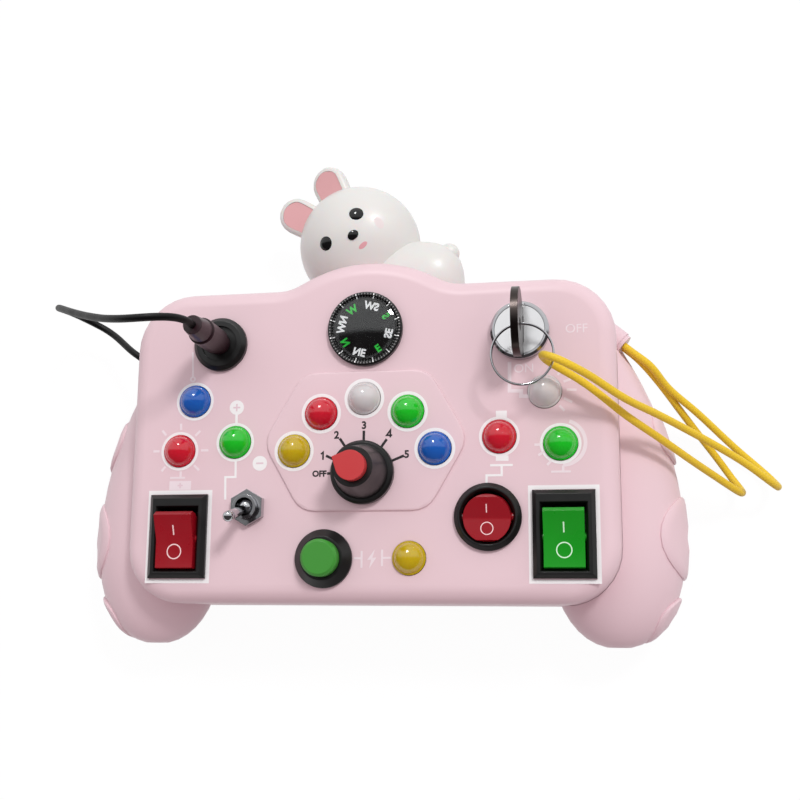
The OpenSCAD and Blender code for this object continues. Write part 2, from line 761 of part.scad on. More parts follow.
// An ear is a leaf with a round tip; along is the distance from the middle of the head
ear_round = 5;
ear_root = head_r - 3.4;
function ear_fade(along) = sqrt(max(1 - pow(max(along - ear_reach, 0) / ear_round, 2), 0));
function ear_narrow(along) = pow(max(ear_reach - along, 0) / (ear_reach - ear_root), 2);
function ear_half_w(along) = (ear_r - 0.6 * ear_narrow(along)) * ear_fade(along);
function ear_half_t(along) = ear_t / 2 * pow(ear_fade(along), 0.4);
function squared(v) = sign(v) * pow(abs(v), 0.5);
ear_places = concat(
    [for (i = [0 : 4]) ear_root + (ear_reach - ear_root) * i / 4],
    [for (a = [18, 36, 54, 70, 84]) ear_reach + ear_round * sin(a)]
);
module ear_paddle() {
    skin([
        for (e = ear_places)
            [for (k = [0 : 19]) [e, ear_half_w(e) * squared(cos(18 * k)), ear_half_t(e) * squared(sin(18 * k))]]
    ]);
}
// Lining inside the ear's rim; its root follows the round of the head
lining_root = head_r + 0.2;
lining_tip = ear_reach + ear_round - ear_rim;
lining_root_w = ear_half_w(lining_root) - ear_rim;
lining_spread = asin(lining_root_w / lining_root);
lining_start = lining_root * cos(lining_spread);
function lining_end(along) = sqrt(max(1 - pow(max(along - ear_reach, 0) / (lining_tip - ear_reach), 4), 0));
function lining_half_w(along) = max((ear_half_w(along) - ear_rim) * lining_end(along), 0);
lining_places = [for (i = [1 : 12]) lining_start + (lining_tip - lining_start) * sin(7.5 * i)];
module ear_pocket(grow) {
    translate([0, 0, ear_t / 2 - 0.9]) linear_extrude(0.55) polygon(concat(
        arc([0, 0], lining_root - grow, -lining_spread, lining_spread, 6),
        [for (e = lining_places) [e + grow * sign(e - ear_reach), lining_half_w(e) + grow]],
        [for (i = [11 : -1 : 0]) let (e = lining_places[i]) [e + grow * sign(e - ear_reach), -lining_half_w(e) - grow]]
    ));
}
// The body is an egg turned about an axis along X; u runs from -1 at one end to 1 at the other
function torso_share(u) = pow(max(1 - pow(abs(u), 2.7), 0), 1 / 2.7);
module torso() {
    steps = 18;
    translate(torso_at) rotate([0, 90, 0]) rotate_extrude() polygon(concat(
        [[0, -torso_l / 2]],
        [for (i = [1 : steps - 1]) let (u = -cos(180 * i / steps)) [torso_w / 2 * torso_share(u), torso_l / 2 * u]],
        [[0, torso_l / 2]]
    ));
}
module rabbit_figure() {
    color(white) difference() {
        union() {
            translate(head_at) rotate([-90, 0, 0]) rotate(90) sphere(head_r);
            torso();
            translate(tail_at) sphere(2.8);
            at_ears() ear_paddle();
            figure_peg(figure_peg_r);
        }
        difference() {
            body_prism(0, -1, body_h + 20);
            figure_peg(figure_peg_r);
        }
        at_ears() ear_pocket(fit);
        at_ears() translate([0, 0, 0.5]) ear_pocket(fit);
        for (d = eye_directions) on_head(d) disc(eye_r + fit, head_r - plug_sink, head_r + 2);
        on_head(nose_direction) nose_prism(fit);
    }
}
module rabbit_ear_linings() {
    color([0.95, 0.68, 0.7]) at_ears() ear_pocket(0);
}
module rabbit_eyes() {
    color(black) for (d = eye_directions)
        on_head(d) domed(eye_dome, eye_proud) disc(eye_r, head_r - plug_sink, head_r + 2);
}
module rabbit_nose() {
    color(black) on_head(nose_direction) domed(nose_dome, nose_proud) nose_prism(0);
}

// Compass

dome_rim = compass_r - compass_rim;
dome_sphere = (pow(dome_rim, 2) + pow(dome_rise, 2)) / (2 * dome_rise);
module compass_case() {
    color(black) spot(compass_at) difference() {
        union() {
            disc(compass_r - compass_rim, body_h - compass_depth, body_h + 0.5);
            disc(compass_r, body_h, compass_seat_z);
            disc(compass_r - 0.3, body_h, compass_seat_z + 0.5);
        }
        disc(card_r + ease, body_h - compass_depth + compass_wall, compass_seat_z + 1);
        disc(dome_rim + fit, compass_seat_z, compass_seat_z + 2);
        disc(pivot_pin_r, body_h - compass_depth - 1, body_h);
    }
}
module compass_pivot() {
    color(steel) spot(compass_at) disc(pivot_pin_r, body_h - compass_depth, card_z - 0.2);
}
module compass_card() {
    color(black) spot(compass_at) difference() {
        union() {
            disc(card_r, card_z, card_z + card_t);
            disc(1.6, card_z - 2.2, card_z + card_t);
        }
        disc(pivot_pin_r + fit, card_z - 3, card_z - 0.1);
    }
}
module compass_dome() {
    color(clear) spot(compass_at, compass_seat_z + dome_rise - dome_sphere) difference() {
        intersection() {
            sphere(dome_sphere);
            disc(dome_rim, dome_sphere - dome_rise, dome_sphere + 1);
        }
        sphere(dome_sphere - 0.8);
    }
}

// Power socket and its plug

module dc_socket() {
    color(black) spot(socket_at) difference() {
        union() {
            disc(socket_thread_r, socket_z, body_h + 1);
            disc(socket_d / 2, body_h, body_h + 1.2);
            translate([0, 0, body_h + 1.2]) cylinder(r1 = socket_d / 2, r2 = socket_d / 2 - 1, h = socket_flange_h - 1.2);
        }
        disc(sleeve_d / 2 + fit, socket_floor_z, body_h + 4);
        disc(socket_d / 2 - 2.4, body_h + socket_flange_h - 0.7, body_h + 4);
        disc(socket_pin_r, socket_z - 1, body_h);
    }
}
module dc_socket_pin() {
    color(brass) spot(socket_at) disc(socket_pin_r, socket_z - 2, body_h - 1);
}
module dc_socket_nut() {
    color(steel) spot(socket_at) hex_nut(socket_nut_af, socket_thread_r + fit, inner_z - nut_h, inner_z, 30);
}
module dc_plug() {
    color(black) spot(socket_at) difference() {
        union() {
            disc(plug_d / 2 - 0.6, plug_z - 0.7, plug_z + plug_neck_h);
            disc(plug_d / 2, plug_z + plug_neck_h, plug_boot_z - 0.7);
            disc(plug_d / 2 - 0.5, plug_boot_z - 1, plug_boot_z);
            translate([0, 0, plug_boot_z - 0.01])
                cylinder(r1 = plug_d / 2 - 0.4, r2 = plug_d / 2 - 1, h = plug_boot_h + 0.01);
        }
        disc(sleeve_d / 2, plug_z - 2, plug_z + plug_neck_h);
    }
}
module dc_plug_sleeve() {
    color(steel) spot(socket_at) difference() {
        disc(sleeve_d / 2, plug_z - sleeve_depth, plug_z + plug_neck_h);
        disc(socket_pin_r + 0.3, plug_z - sleeve_depth - 1, plug_z + 1);
    }
}
module dc_plug_lead() {
    color(black) tube(lead_route, lead_d, cord_sides, unit([0.35, 0.94, 0]));
}
module grommet(exit) {
    at_exit(exit) {
        disc(grommet_flange_r, -grommet_flange_t, 0);
        disc(grommet_r, -grommet_stem - 1, -grommet_flange_t / 2);
    }
}
module lead_grommet() {
    color(pink) grommet(lead_exit);
}

// Key lock, key, ring and cord

module lock_barrel() {
    color(steel) spot(lock_at) difference() {
        union() {
            disc(lock_thread_r, lock_floor_z - 2, body_h + 1);
            disc(lock_d / 2, body_h, body_h + lock_flange_h - 0.6);
            translate([0, 0, body_h + lock_flange_h - 0.6]) cylinder(r1 = lock_d / 2, r2 = lock_d / 2 - 0.6, h = 0.6);
        }
        disc(lock_face_r + fit, body_h + lock_flange_h - lock_face_t - 0.2, body_h + 10);
        disc(lock_plug_r + fit, lock_floor_z, body_h + 10);
    }
}
module lock_nut() {
    color(steel) spot(lock_at) hex_nut(lock_nut_af, lock_thread_r + fit, inner_z - nut_h, inner_z, 30);
}
module lock_plug() {
    face_z = body_h + lock_flange_h - lock_face_t - 0.15;
    color(steel) spot(lock_at) difference() {
        union() {
            disc(lock_face_r, face_z, face_z + lock_face_t);
            disc(lock_plug_r, lock_floor_z + 0.1, face_z + 0.2);
        }
        block(key_t + 2 * slip, keyway_w + 2 * slip, lock_floor_z + 2, body_h + 10);
    }
}
module key() {
    shoulder_z = body_h + lock_flange_h + 0.1;
    color([0.3, 0.28, 0.27]) spot(lock_at) difference() {
        union() {
            block(key_t, keyway_w, lock_floor_z + 2, shoulder_z + 1);
            intersection() {
                translate([-key_t / 2, 0, bow_z]) rotate([0, 90, 0]) cylinder(r = bow_d / 2, h = key_t);
                block(key_t + 1, bow_d + 1, shoulder_z, bow_z + bow_d);
            }
        }
        translate([-key_t, ring_from_lock.y + ring_r, ring_z]) rotate([0, 90, 0])
            cylinder(r = ring_eye_r, h = 2 * key_t);
        for (i = [0 : 3]) translate([0, keyway_w / 2, lock_floor_z + 3 + 2.4 * i]) block(key_t + 1, 1.6, 0, 1.2);
    }
}
module key_ring() {
    color(steel) spot(lock_at + ring_from_lock, ring_z) rotate_extrude()
        for (s = [-1, 1]) translate([ring_r, s * 0.3 * ring_wire_d]) circle(d = ring_wire_d);
}
module key_cord() {
    color(yellow) tube(cord_route, cord_d, cord_sides, unit([0.5, 0.87, 0]));
}
module cord_grommet() {
    color(pink) grommet(cord_exit);
}

// Toggle switch

module at_toggle() {
    spot(toggle_at) rotate(toggle_turn) children();
}
module toggle_body() {
    color(blue) at_toggle() block(8, 13, inner_z - 3 - toggle_body_h, inner_z - 3);
}
module toggle_bushing() {
    color(steel) at_toggle() difference() {
        union() {
            disc(bushing_r, inner_z - 3, body_h + bushing_h);
            disc(bushing_r + 1.6, inner_z - 3, inner_z);
        }
        disc(bushing_bore, inner_z - 1, body_h + bushing_h + 1);
        toggle_pin(toggle_pin_r + fit, toggle_pin_l + 0.2);
    }
}
module toggle_pin(r, l) {
    translate([-l / 2, 0, toggle_pivot_z]) rotate([0, 90, 0]) cylinder(r = r, h = l);
}
module toggle_nut() {
    color(steel) spot(toggle_at) hex_nut(toggle_nut_af, bushing_r + fit, body_h, body_h + 2, 30);
}
module toggle_lever() {
    color(steel) at_toggle() {
        toggle_pin(toggle_pin_r, toggle_pin_l);
        translate([0, 0, toggle_pivot_z]) rotate([toggle_swing, 0, 0]) {
            sphere(bushing_bore - slip);
            cylinder(r1 = 0.95, r2 = toggle_tip_r - 0.05, h = toggle_lever_l);
            translate([0, 0, toggle_lever_l]) sphere(toggle_tip_r);
        }
    }
}

// Rocker switches

module bevelled(w, h, z0, z1, bevel) {
    function ring(in) = [[w / 2 - in, in - h / 2], [w / 2 - in, h / 2 - in], [in - w / 2, h / 2 - in], [in - w / 2, in - h / 2]];
    skin([lift(ring(0), z0), lift(ring(0), z1 - bevel), lift(ring(bevel), z1)]);
}
module rocker_housing(at) {
    spot(at) difference() {
        union() {
            bevelled(rocker_w, rocker_h, body_h, body_h + bezel_h, 1);
            block(rocker_body_w, rocker_body_h, switch_z, body_h + 0.5);
        }
        translate([0, -rocker_drop, 0]) {
            block(rocker_open_w, rocker_open_h, body_h - rocker_floor, body_h + bezel_h + 1);
            opening_slope(rocker_open_w / 2, rocker_open_h / 2);
            pivot_bar(rocker_open_w / 2 + 0.8, pivot_r + fit);
        }
    }
}
// The inner edge of a rectangular bezel slopes down towards its paddle
module opening_slope(a, b) {
    function ring(out) = [[a + out, -b - out], [a + out, b + out], [-a - out, b + out], [-a - out, -b - out]];
    top = body_h + bezel_h;
    skin([lift(ring(0), top - bezel_slope), lift(ring(1.4 * bezel_slope), top + bezel_slope)]);
}
module pivot_bar(half, r) {
    translate([-half, 0, paddle_pivot_z]) rotate([0, 90, 0]) cylinder(r = r, h = 2 * half);
}
// Side view of a paddle about its pivot: a shallow V on top, ends that slope out to a waist, drawn in below
module paddle_profile(half, wide) {
    crown = half - 0.6;
    crown_z = paddle_centre + crown * tan(rocker_swing);
    translate([-wide / 2, 0, 0]) rotate([90, 0, 90]) linear_extrude(wide)
        polygon([
            [-half, paddle_waist], [-crown, crown_z], [0, paddle_centre], [crown, crown_z], [half, paddle_waist],
            [half - 0.7, 0.4], [2.2, -3.6], [-2.2, -3.6], [0.7 - half, 0.4]
        ]);
}
module tipped() {
    translate([0, 0, paddle_pivot_z]) rotate([rocker_swing, 0, 0]) children();
}
module rocker_paddle(at) {
    spot(at) translate([0, -rocker_drop, 0]) {
        tipped() paddle_profile(paddle_l / 2, paddle_w);
        pivot_bar(rocker_open_w / 2 + 0.7, pivot_r);
    }
}
module left_rocker_housing() {
    color(black) rocker_housing(left_rocker_at);
}
module left_rocker_paddle() {
    color(red) rocker_paddle(left_rocker_at);
}
module right_rocker_housing() {
    color(black) rocker_housing(right_rocker_at);
}
module right_rocker_paddle() {
    color(green) rocker_paddle(right_rocker_at);
}
module round_rocker_housing() {
    r = round_d / 2;
    color(black) spot(round_rocker_at) difference() {
        union() {
            disc(round_body_r, switch_z, body_h + 0.5);
            disc(r, body_h, body_h + bezel_h - 1);
            translate([0, 0, body_h + bezel_h - 1]) cylinder(r1 = r, r2 = r - 1, h = 1);
        }
        disc(round_open_r, body_h - rocker_floor, body_h + bezel_h + 1);
        translate([0, 0, body_h + bezel_h - bezel_slope])
            cylinder(r1 = round_open_r, r2 = round_open_r + 1.4 * bezel_slope, h = 2 * bezel_slope);
        pivot_bar(round_open_r + 0.7, pivot_r + fit);
    }
}
module round_rocker_paddle() {
    color(red) spot(round_rocker_at) {
        tipped() intersection() {
            paddle_profile(round_paddle_r, 2 * round_paddle_r);
            disc(round_paddle_r, -5, 8);
        }
        pivot_bar(round_open_r + 0.6, pivot_r);
    }
}
module rocker_terminals() {
    color(brass) for (p = [left_rocker_at, right_rocker_at, round_rocker_at], y = [-4, 4])
        spot(p + [0, y]) block(4.6, 0.8, switch_z - 7, switch_z);
}

// Push button

module button_bezel() {
    r = button_d / 2;
    bore = button_cap_d / 2 + fit;
    color(black) spot(button_at) difference() {
        union() {
            disc(button_barrel_r, button_floor_z - 2, body_h + 0.5);
            disc(r, body_h, body_h + 1);
            translate([0, 0, body_h + 1]) cylinder(r1 = r, r2 = bore + 0.7, h = button_bezel_h - 1);
        }
        disc(bore, button_lip_z - 0.5, body_h + button_bezel_h + 1);
        disc(button_bore_r, button_floor_z, button_lip_z);
    }
}
module button_cap() {
    r = button_cap_d / 2;
    top = body_h + button_bezel_h + button_proud;
    flange_z = button_lip_z - slip - button_flange_t;
    color(green) spot(button_at) {
        disc(r, flange_z, top - 0.6);
        translate([0, 0, top - 0.6]) cylinder(r1 = r, r2 = r - 0.6, h = 0.6);
        disc(button_bore_r - 2 * slip, flange_z, flange_z + button_flange_t);
    }
}
module button_spring() {
    h = button_lip_z - slip - button_flange_t - button_floor_z;
    color(steel) spot(button_at, button_floor_z) coil(button_bore_r - 1, button_bore_r - 1, h, 5, spring_wire);
}
module button_nut() {
    color(black) spot(button_at) hex_nut(2 * button_barrel_r + 3, button_barrel_r + fit, button_seat_z - nut_h, button_seat_z);
}

// Rotary selector

module knob_body() {
    r = knob_d / 2;
    shoulder = pointer_r + 1.3;
    color(black) spot(knob_at) difference() {
        union() {
            disc(r, knob_z, knob_z + skirt_h - 0.5);
            translate([0, 0, knob_z + skirt_h - 0.5]) cylinder(r1 = r, r2 = r - 0.5, h = 0.5);
            translate([0, 0, knob_z + skirt_h - 0.1]) cylinder(r1 = r - 1.2, r2 = shoulder, h = knob_h - skirt_h + 0.1);
        }
        disc(rotary_nut_af / sqrt(3) + 0.4, knob_z - 1, island_z + rotary_nut_h + 0.4);
        disc(shaft_r + fit, knob_z - 1, knob_z + knob_h - 1.5);
    }
}
module knob_pointer() {
    color(red) spot(knob_at, knob_z + knob_h) rotate(pointer_angle) {
        disc(pointer_r, 0, pointer_h);
        linear_extrude(pointer_h) polygon([
            [pointer_tip, 0], [pointer_r * cos(45), pointer_r * sin(45)], [0, 0],
            [pointer_r * cos(45), -pointer_r * sin(45)]
        ]);
    }
}
module rotary_switch() {
    color(black) spot(knob_at) difference() {
        union() {
            disc(rotary_r, switch_z + 2, inner_z);
            disc(rotary_bushing_r, inner_z - 1, island_z + rotary_nut_h);
        }
        disc(shaft_r + fit, switch_z + 4, island_z + 5);
    }
}
module rotary_shaft() {
    color(steel) spot(knob_at) disc(shaft_r, switch_z + 4.1, knob_z + knob_h - 1.5);
}
module rotary_nut() {
    color(steel) spot(knob_at) hex_nut(rotary_nut_af, rotary_bushing_r + fit, island_z, island_z + rotary_nut_h);
}

// Lamps

module lamp(at, face) {
    dome_r = lamp_r - lamp_rim;
    rise = lamp_rise - lamp_rim_h;
    bulge = (dome_r * dome_r + rise * rise) / (2 * rise);
    bevel = 0.6 * lamp_rim;
    spot(at) {
        disc(lamp_base_r, board_top, inner_z);
        disc(lamp_flange_r, inner_z - lamp_flange_t, inner_z);
        disc(lamp_r, inner_z - 0.5, face + lamp_rim_h - bevel);
        translate([0, 0, face + lamp_rim_h - bevel]) cylinder(r1 = lamp_r, r2 = lamp_r - bevel, h = bevel);
        intersection() {
            translate([0, 0, face + lamp_rise - bulge]) sphere(bulge);
            disc(dome_r, face, face + lamp_rise + 1);
        }
    }
}
module lamps(flat, angles) {
    for (p = flat) lamp(p, body_h);
    for (a = angles) lamp(arc_lamp(a), island_z);
}
module red_lamps() {
    color(red) lamps(red_flat, [126]);
}
module green_lamps() {
    color(green) lamps(green_flat, [54]);
}
module blue_lamps() {
    color(blue) lamps(blue_flat, [18]);
}
module yellow_lamps() {
    color(yellow) lamps(yellow_flat, [162]);
}
module clear_lamps() {
    color(clear) lamps(clear_flat, [90]);
}

front_shell();
rear_shell();
shell_screws();
battery_door();
battery_door_screw();
battery_cells();
battery_contacts();
battery_springs();
circuit_board();
board_screws();
rabbit_figure();
rabbit_ear_linings();
rabbit_eyes();
rabbit_nose();
compass_case();
compass_pivot();
compass_card();
compass_dome();
dc_socket();
dc_socket_pin();
dc_socket_nut();
dc_plug();
dc_plug_sleeve();
dc_plug_lead();
lead_grommet();
lock_barrel();
lock_nut();
lock_plug();
key();
key_ring();
key_cord();
cord_grommet();
toggle_body();
toggle_bushing();
toggle_nut();
toggle_lever();
left_rocker_housing();
left_rocker_paddle();
right_rocker_housing();
right_rocker_paddle();
round_rocker_housing();
round_rocker_paddle();
rocker_terminals();
button_bezel();
button_cap();
button_spring();
button_nut();
knob_body();
knob_pointer();
rotary_switch();
rotary_shaft();
rotary_nut();
red_lamps();
green_lamps();
blue_lamps();
yellow_lamps();
clear_lamps();
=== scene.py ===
# %% [markdown]
# # A busy board, dressed in Blender
# The part is a hand-held toy: a pale pink box with two grips, a panel of real switches and lamps, and a
# white rabbit lying along its top side. The solids come from the CAD frame, in metres, already in place.
# Blender adds what the solids don't say: finishes, printed marks, lettering, cords, light and a camera.
# Nothing from the frame is moved. The new marks and the spring ride on the body that carries them.

# %% Load the frame
import json
import math

import bpy
import numpy as np
from mathutils import Matrix, Vector


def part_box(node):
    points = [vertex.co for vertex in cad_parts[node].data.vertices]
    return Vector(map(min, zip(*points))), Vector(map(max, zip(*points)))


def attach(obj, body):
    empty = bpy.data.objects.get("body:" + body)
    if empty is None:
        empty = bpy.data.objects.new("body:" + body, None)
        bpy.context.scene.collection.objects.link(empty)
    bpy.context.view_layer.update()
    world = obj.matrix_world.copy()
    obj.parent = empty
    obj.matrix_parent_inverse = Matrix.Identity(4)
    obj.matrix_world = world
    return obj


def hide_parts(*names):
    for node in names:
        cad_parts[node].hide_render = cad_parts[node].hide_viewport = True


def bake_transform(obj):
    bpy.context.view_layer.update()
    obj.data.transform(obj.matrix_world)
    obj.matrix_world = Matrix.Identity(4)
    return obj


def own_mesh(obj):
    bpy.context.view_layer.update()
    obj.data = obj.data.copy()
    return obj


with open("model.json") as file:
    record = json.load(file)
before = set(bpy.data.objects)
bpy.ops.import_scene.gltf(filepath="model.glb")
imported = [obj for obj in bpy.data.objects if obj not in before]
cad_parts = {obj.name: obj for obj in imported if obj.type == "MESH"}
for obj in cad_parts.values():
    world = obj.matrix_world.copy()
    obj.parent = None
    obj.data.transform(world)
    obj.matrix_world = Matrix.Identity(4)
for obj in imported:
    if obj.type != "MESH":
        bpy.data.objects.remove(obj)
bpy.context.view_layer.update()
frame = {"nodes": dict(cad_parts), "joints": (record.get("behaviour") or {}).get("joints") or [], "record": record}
MM = 0.001

# %% [markdown]
# ## Camera
# The photograph looks almost straight down on the panel, from a little below and to the right. The place was
# solved once from the corners of the panel and the switches, so it is written as a point, a direction of
# view and the direction that runs to the right in the picture. The lens is a normal one of about 50 mm, a
# third of a metre from the board.

# %% Camera
CAMERA_AT = Vector((60.8, -44.65, 310.6)) * MM
LOOKING = Vector((-0.1821, 0.1912, -0.9645)).normalized()
PICTURE_RIGHT = Vector((0.9829, 0.0076, -0.1841))
LENS_MM = 51.3
SENSOR_MM = 36
NEAREST_SEEN = 10 * MM

right = (PICTURE_RIGHT - PICTURE_RIGHT.project(LOOKING)).normalized()
camera_axes = Matrix((right, right.cross(LOOKING), -LOOKING)).transposed()
camera = bpy.data.objects.new("camera", bpy.data.cameras.new("camera"))
camera.data.lens = LENS_MM
camera.data.sensor_width = SENSOR_MM
camera.data.clip_start = NEAREST_SEEN
camera.matrix_world = Matrix.Translation(CAMERA_AT) @ camera_axes.to_4x4()
bpy.context.scene.collection.objects.link(camera)
bpy.context.scene.camera = camera
print("camera", round(CAMERA_AT.length * 1000), "mm from the middle of the back")

# %% [markdown]
# ## Cords
# Two cords leave the body. A thin black lead comes out of the left side and ends in the plug, and a yellow
# cord comes out of the right side, loops through the key ring and goes back in. Both follow the listed
# points of the CAD route. A bent lath through the points is a natural cubic spline, and a cord takes much
# the same shape, so the route is refined with one.

# %% Routes of the cords, in millimetres, from the ends that leave the body
LEAD_ROUTE = [
    (-66.28, 26.05, 17), (-68.6, 27.56, 17), (-70.9, 29.1, 16.6), (-74.2, 31.6, 14.9), (-78.2, 34.8, 12.4),
    (-83, 38.1, 11), (-87.4, 40.4, 12.7), (-90.4, 41.6, 17.4), (-90.8, 41.2, 23.2), (-88, 39.6, 29.6),
    (-83.2, 37.2, 36), (-77.4, 34.4, 42.7), (-71.2, 31.6, 49.4), (-65.4, 29.2, 55.4), (-60, 27.2, 60.6),
    (-55.2, 25.8, 64.7), (-50.9, 25, 67.3), (-46.6, 24.8, 68.25), (-42.55, 25.1, 67.2), (-39.6, 25.5, 64.3),
    (-38.3, 25.6, 60.2), (-38.3, 25.6, 57.45),
]
CORD_ROUTE = [
    (64.38, 25.94, 18.3), (67, 23.73, 18.3), (71, 20.4, 17.8), (74.3, 16.5, 14.8), (81.4, 10.5, 10),
    (88.5, 4.3, 5.6), (94.1, -0.7, 2.8), (98.1, -4.3, 2), (100.9, -7.3, 2.8), (102.1, -9.4, 5.6),
    (101.6, -10.1, 9.6), (99.5, -9.1, 12.6), (95, -6.1, 15.8), (87.5, -1.9, 20.6), (79, 1.9, 27.6),
    (70.4, 5.2, 35.8), (63.3, 7.8, 42.6), (55.8, 12, 48.4), (52.3, 13.6, 51), (48.7, 15.4, 51.6),
    (46.1, 16.7, 50.1), (45.1, 17.3, 47), (46.1, 16.7, 44.3), (48.7, 15.2, 42.7), (52.7, 12.9, 41.6),
    (57.4, 9.5, 40.6), (63.3, 5, 37.2), (70.8, 0.5, 31), (79.6, -4.6, 22.4), (86.2, -8.2, 15.6),
    (90.3, -10.5, 12), (92.8, -11.5, 8.6), (93.3, -10.5, 4.8), (91.8, -7.7, 2.3), (89, -3.4, 2.2),
    (84.7, 2.3, 4.4), (79.4, 9, 8.2), (70.4, 20.1, 15.1), (67, 23.73, 15.7), (64.38, 25.94, 15.7),
]
CORD_DIAMETER = 1.9 * MM
PATH_STEP = 0.8


def bent_lath(points, step):
    """Points every step or so along the natural cubic spline through the given points."""
    knots = np.array(points, float)
    spans = np.linalg.norm(np.diff(knots, axis=0), axis=1)
    slopes = np.diff(knots, axis=0) / spans[:, None]
    pull = np.eye(len(knots))
    push = np.zeros_like(knots)
    for i in range(1, len(knots) - 1):
        pull[i, i - 1 : i + 2] = spans[i - 1], 2 * (spans[i - 1] + spans[i]), spans[i]
        push[i] = 6 * (slopes[i] - slopes[i - 1])
    bend = np.linalg.solve(pull, push)
    path = []
    for i, span in enumerate(spans):
        for b in np.linspace(0, 1, max(2, math.ceil(span / step)), endpoint=False):
            a = 1 - b
            curl = (a**3 - a) * bend[i] + (b**3 - b) * bend[i + 1]
            path.append(a * knots[i] + b * knots[i + 1] + span * span / 6 * curl)
    return [Vector(p) * MM for p in path + [knots[-1]]]


lead_path = bent_lath(LEAD_ROUTE, PATH_STEP)
cord_path = bent_lath(CORD_ROUTE, PATH_STEP)
print("paths of", len(lead_path), "and", len(cord_path), "points")


# %% A tube with a map along and around it
def mesh_piece(name, points, faces):
    """A new mesh object from points in metres, in the frame of the part."""
    mesh = bpy.data.meshes.new(name)
    mesh.from_pydata([tuple(p) for p in points], [], faces)
    mesh.update()
    piece = bpy.data.objects.new(name, mesh)
    bpy.context.scene.collection.objects.link(piece)
    return piece


def tube(name, path, radius, sides=16):
    """A round tube along the path. Its UV map holds the way along in metres and the share of a turn."""
    points, faces, along, reach = [], [], [], 0.0
    side = (path[1] - path[0]).orthogonal().normalized()
    for i, place in enumerate(path):
        ahead = (path[min(i + 1, len(path) - 1)] - path[max(i - 1, 0)]).normalized()
        side = (side - side.project(ahead)).normalized()
        other = ahead.cross(side)
        reach += (place - path[i - 1]).length if i else 0.0
        along.append(reach)
        for k in range(sides):
            turn = math.tau * k / sides
            points.append(place + radius * (math.cos(turn) * side + math.sin(turn) * other))
    for i in range(len(path) - 1):
        for k in range(sides):
            a, b = i * sides + k, i * sides + (k + 1) % sides
            faces.append((a, b, b + sides, a + sides))
    last = (len(path) - 1) * sides
    faces += [tuple(reversed(range(sides))), tuple(range(last, last + sides))]
    piece = mesh_piece(name, points, faces)
    uv = piece.data.uv_layers.new(name="along_and_around")
    for face in piece.data.polygons:
        face.use_smooth = len(face.vertices) == 4
        places = {v % sides for v in face.vertices}
        seam = 0 in places and sides - 1 in places
        for loop, v in zip(face.loop_indices, face.vertices):
            k = sides if seam and v % sides == 0 else v % sides
            uv.data[loop].uv = (along[v // sides], k / sides)
    return piece, reach


plug_lead, lead_length = tube("plug_lead", lead_path, CORD_DIAMETER / 2)
ring_cord, cord_length = tube("ring_cord", cord_path, CORD_DIAMETER / 2)
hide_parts("dc_plug_lead")
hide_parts("key_cord")
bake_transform(plug_lead)
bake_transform(ring_cord)
print(f"lead {lead_length * 1000:.1f} mm, cord {cord_length * 1000:.1f} mm")

# %% [markdown]
# ## Finishes
# Most of the board is injection-moulded plastic. Up close such a surface has a fine grain from the mould, a
# gloss that varies a little, and a colour that is never perfectly even. Each of these is a noise texture in
# object space, where one unit is a metre, so a grain of 0.3 mm has a scale of about 3000. Real edges are
# never knife sharp, so the black, coloured and metal parts also get Cycles' Bevel node, which rounds the
# shading of an edge without touching the mesh. Plain numbers and colours go straight onto the sockets.


# %% Node helpers
MIX_FIRST, MIX_SECOND, MIX_RESULT = 6, 7, 2  # the Mix node's sockets for colours
finishes = {}


def paint(red, green, blue):
    """A colour as a picture editor writes it, 0 to 255, in the linear values that sockets take."""
    scaled = [c / 255 for c in (red, green, blue)]
    return [c / 12.92 if c <= 0.04045 else ((c + 0.055) / 1.055) ** 2.4 for c in scaled] + [1.0]


def shade(colour, share):
    """The same colour, darker below a share of 1 and lighter above it."""
    return [min(c * share, 1.0) for c in colour[:3]] + [1.0]


def larger(tree, first, second):
    """The larger of two values, by a node in the tree."""
    node = tree.nodes.new("ShaderNodeMath")
    node.operation = "MAXIMUM"
    tree.links.new(first, node.inputs[0])
    tree.links.new(second, node.inputs[1])
    return node.outputs[0]


def spread(tree, value, low, high, start=0.0, end=1.0):
    """A node in the tree that turns a value from start to end into one from low to high."""
    node = tree.nodes.new("ShaderNodeMapRange")
    for name, number in (("From Min", start), ("From Max", end), ("To Min", low), ("To Max", high)):
        node.inputs[name].default_value = number
    tree.links.new(value, node.inputs["Value"])
    return node


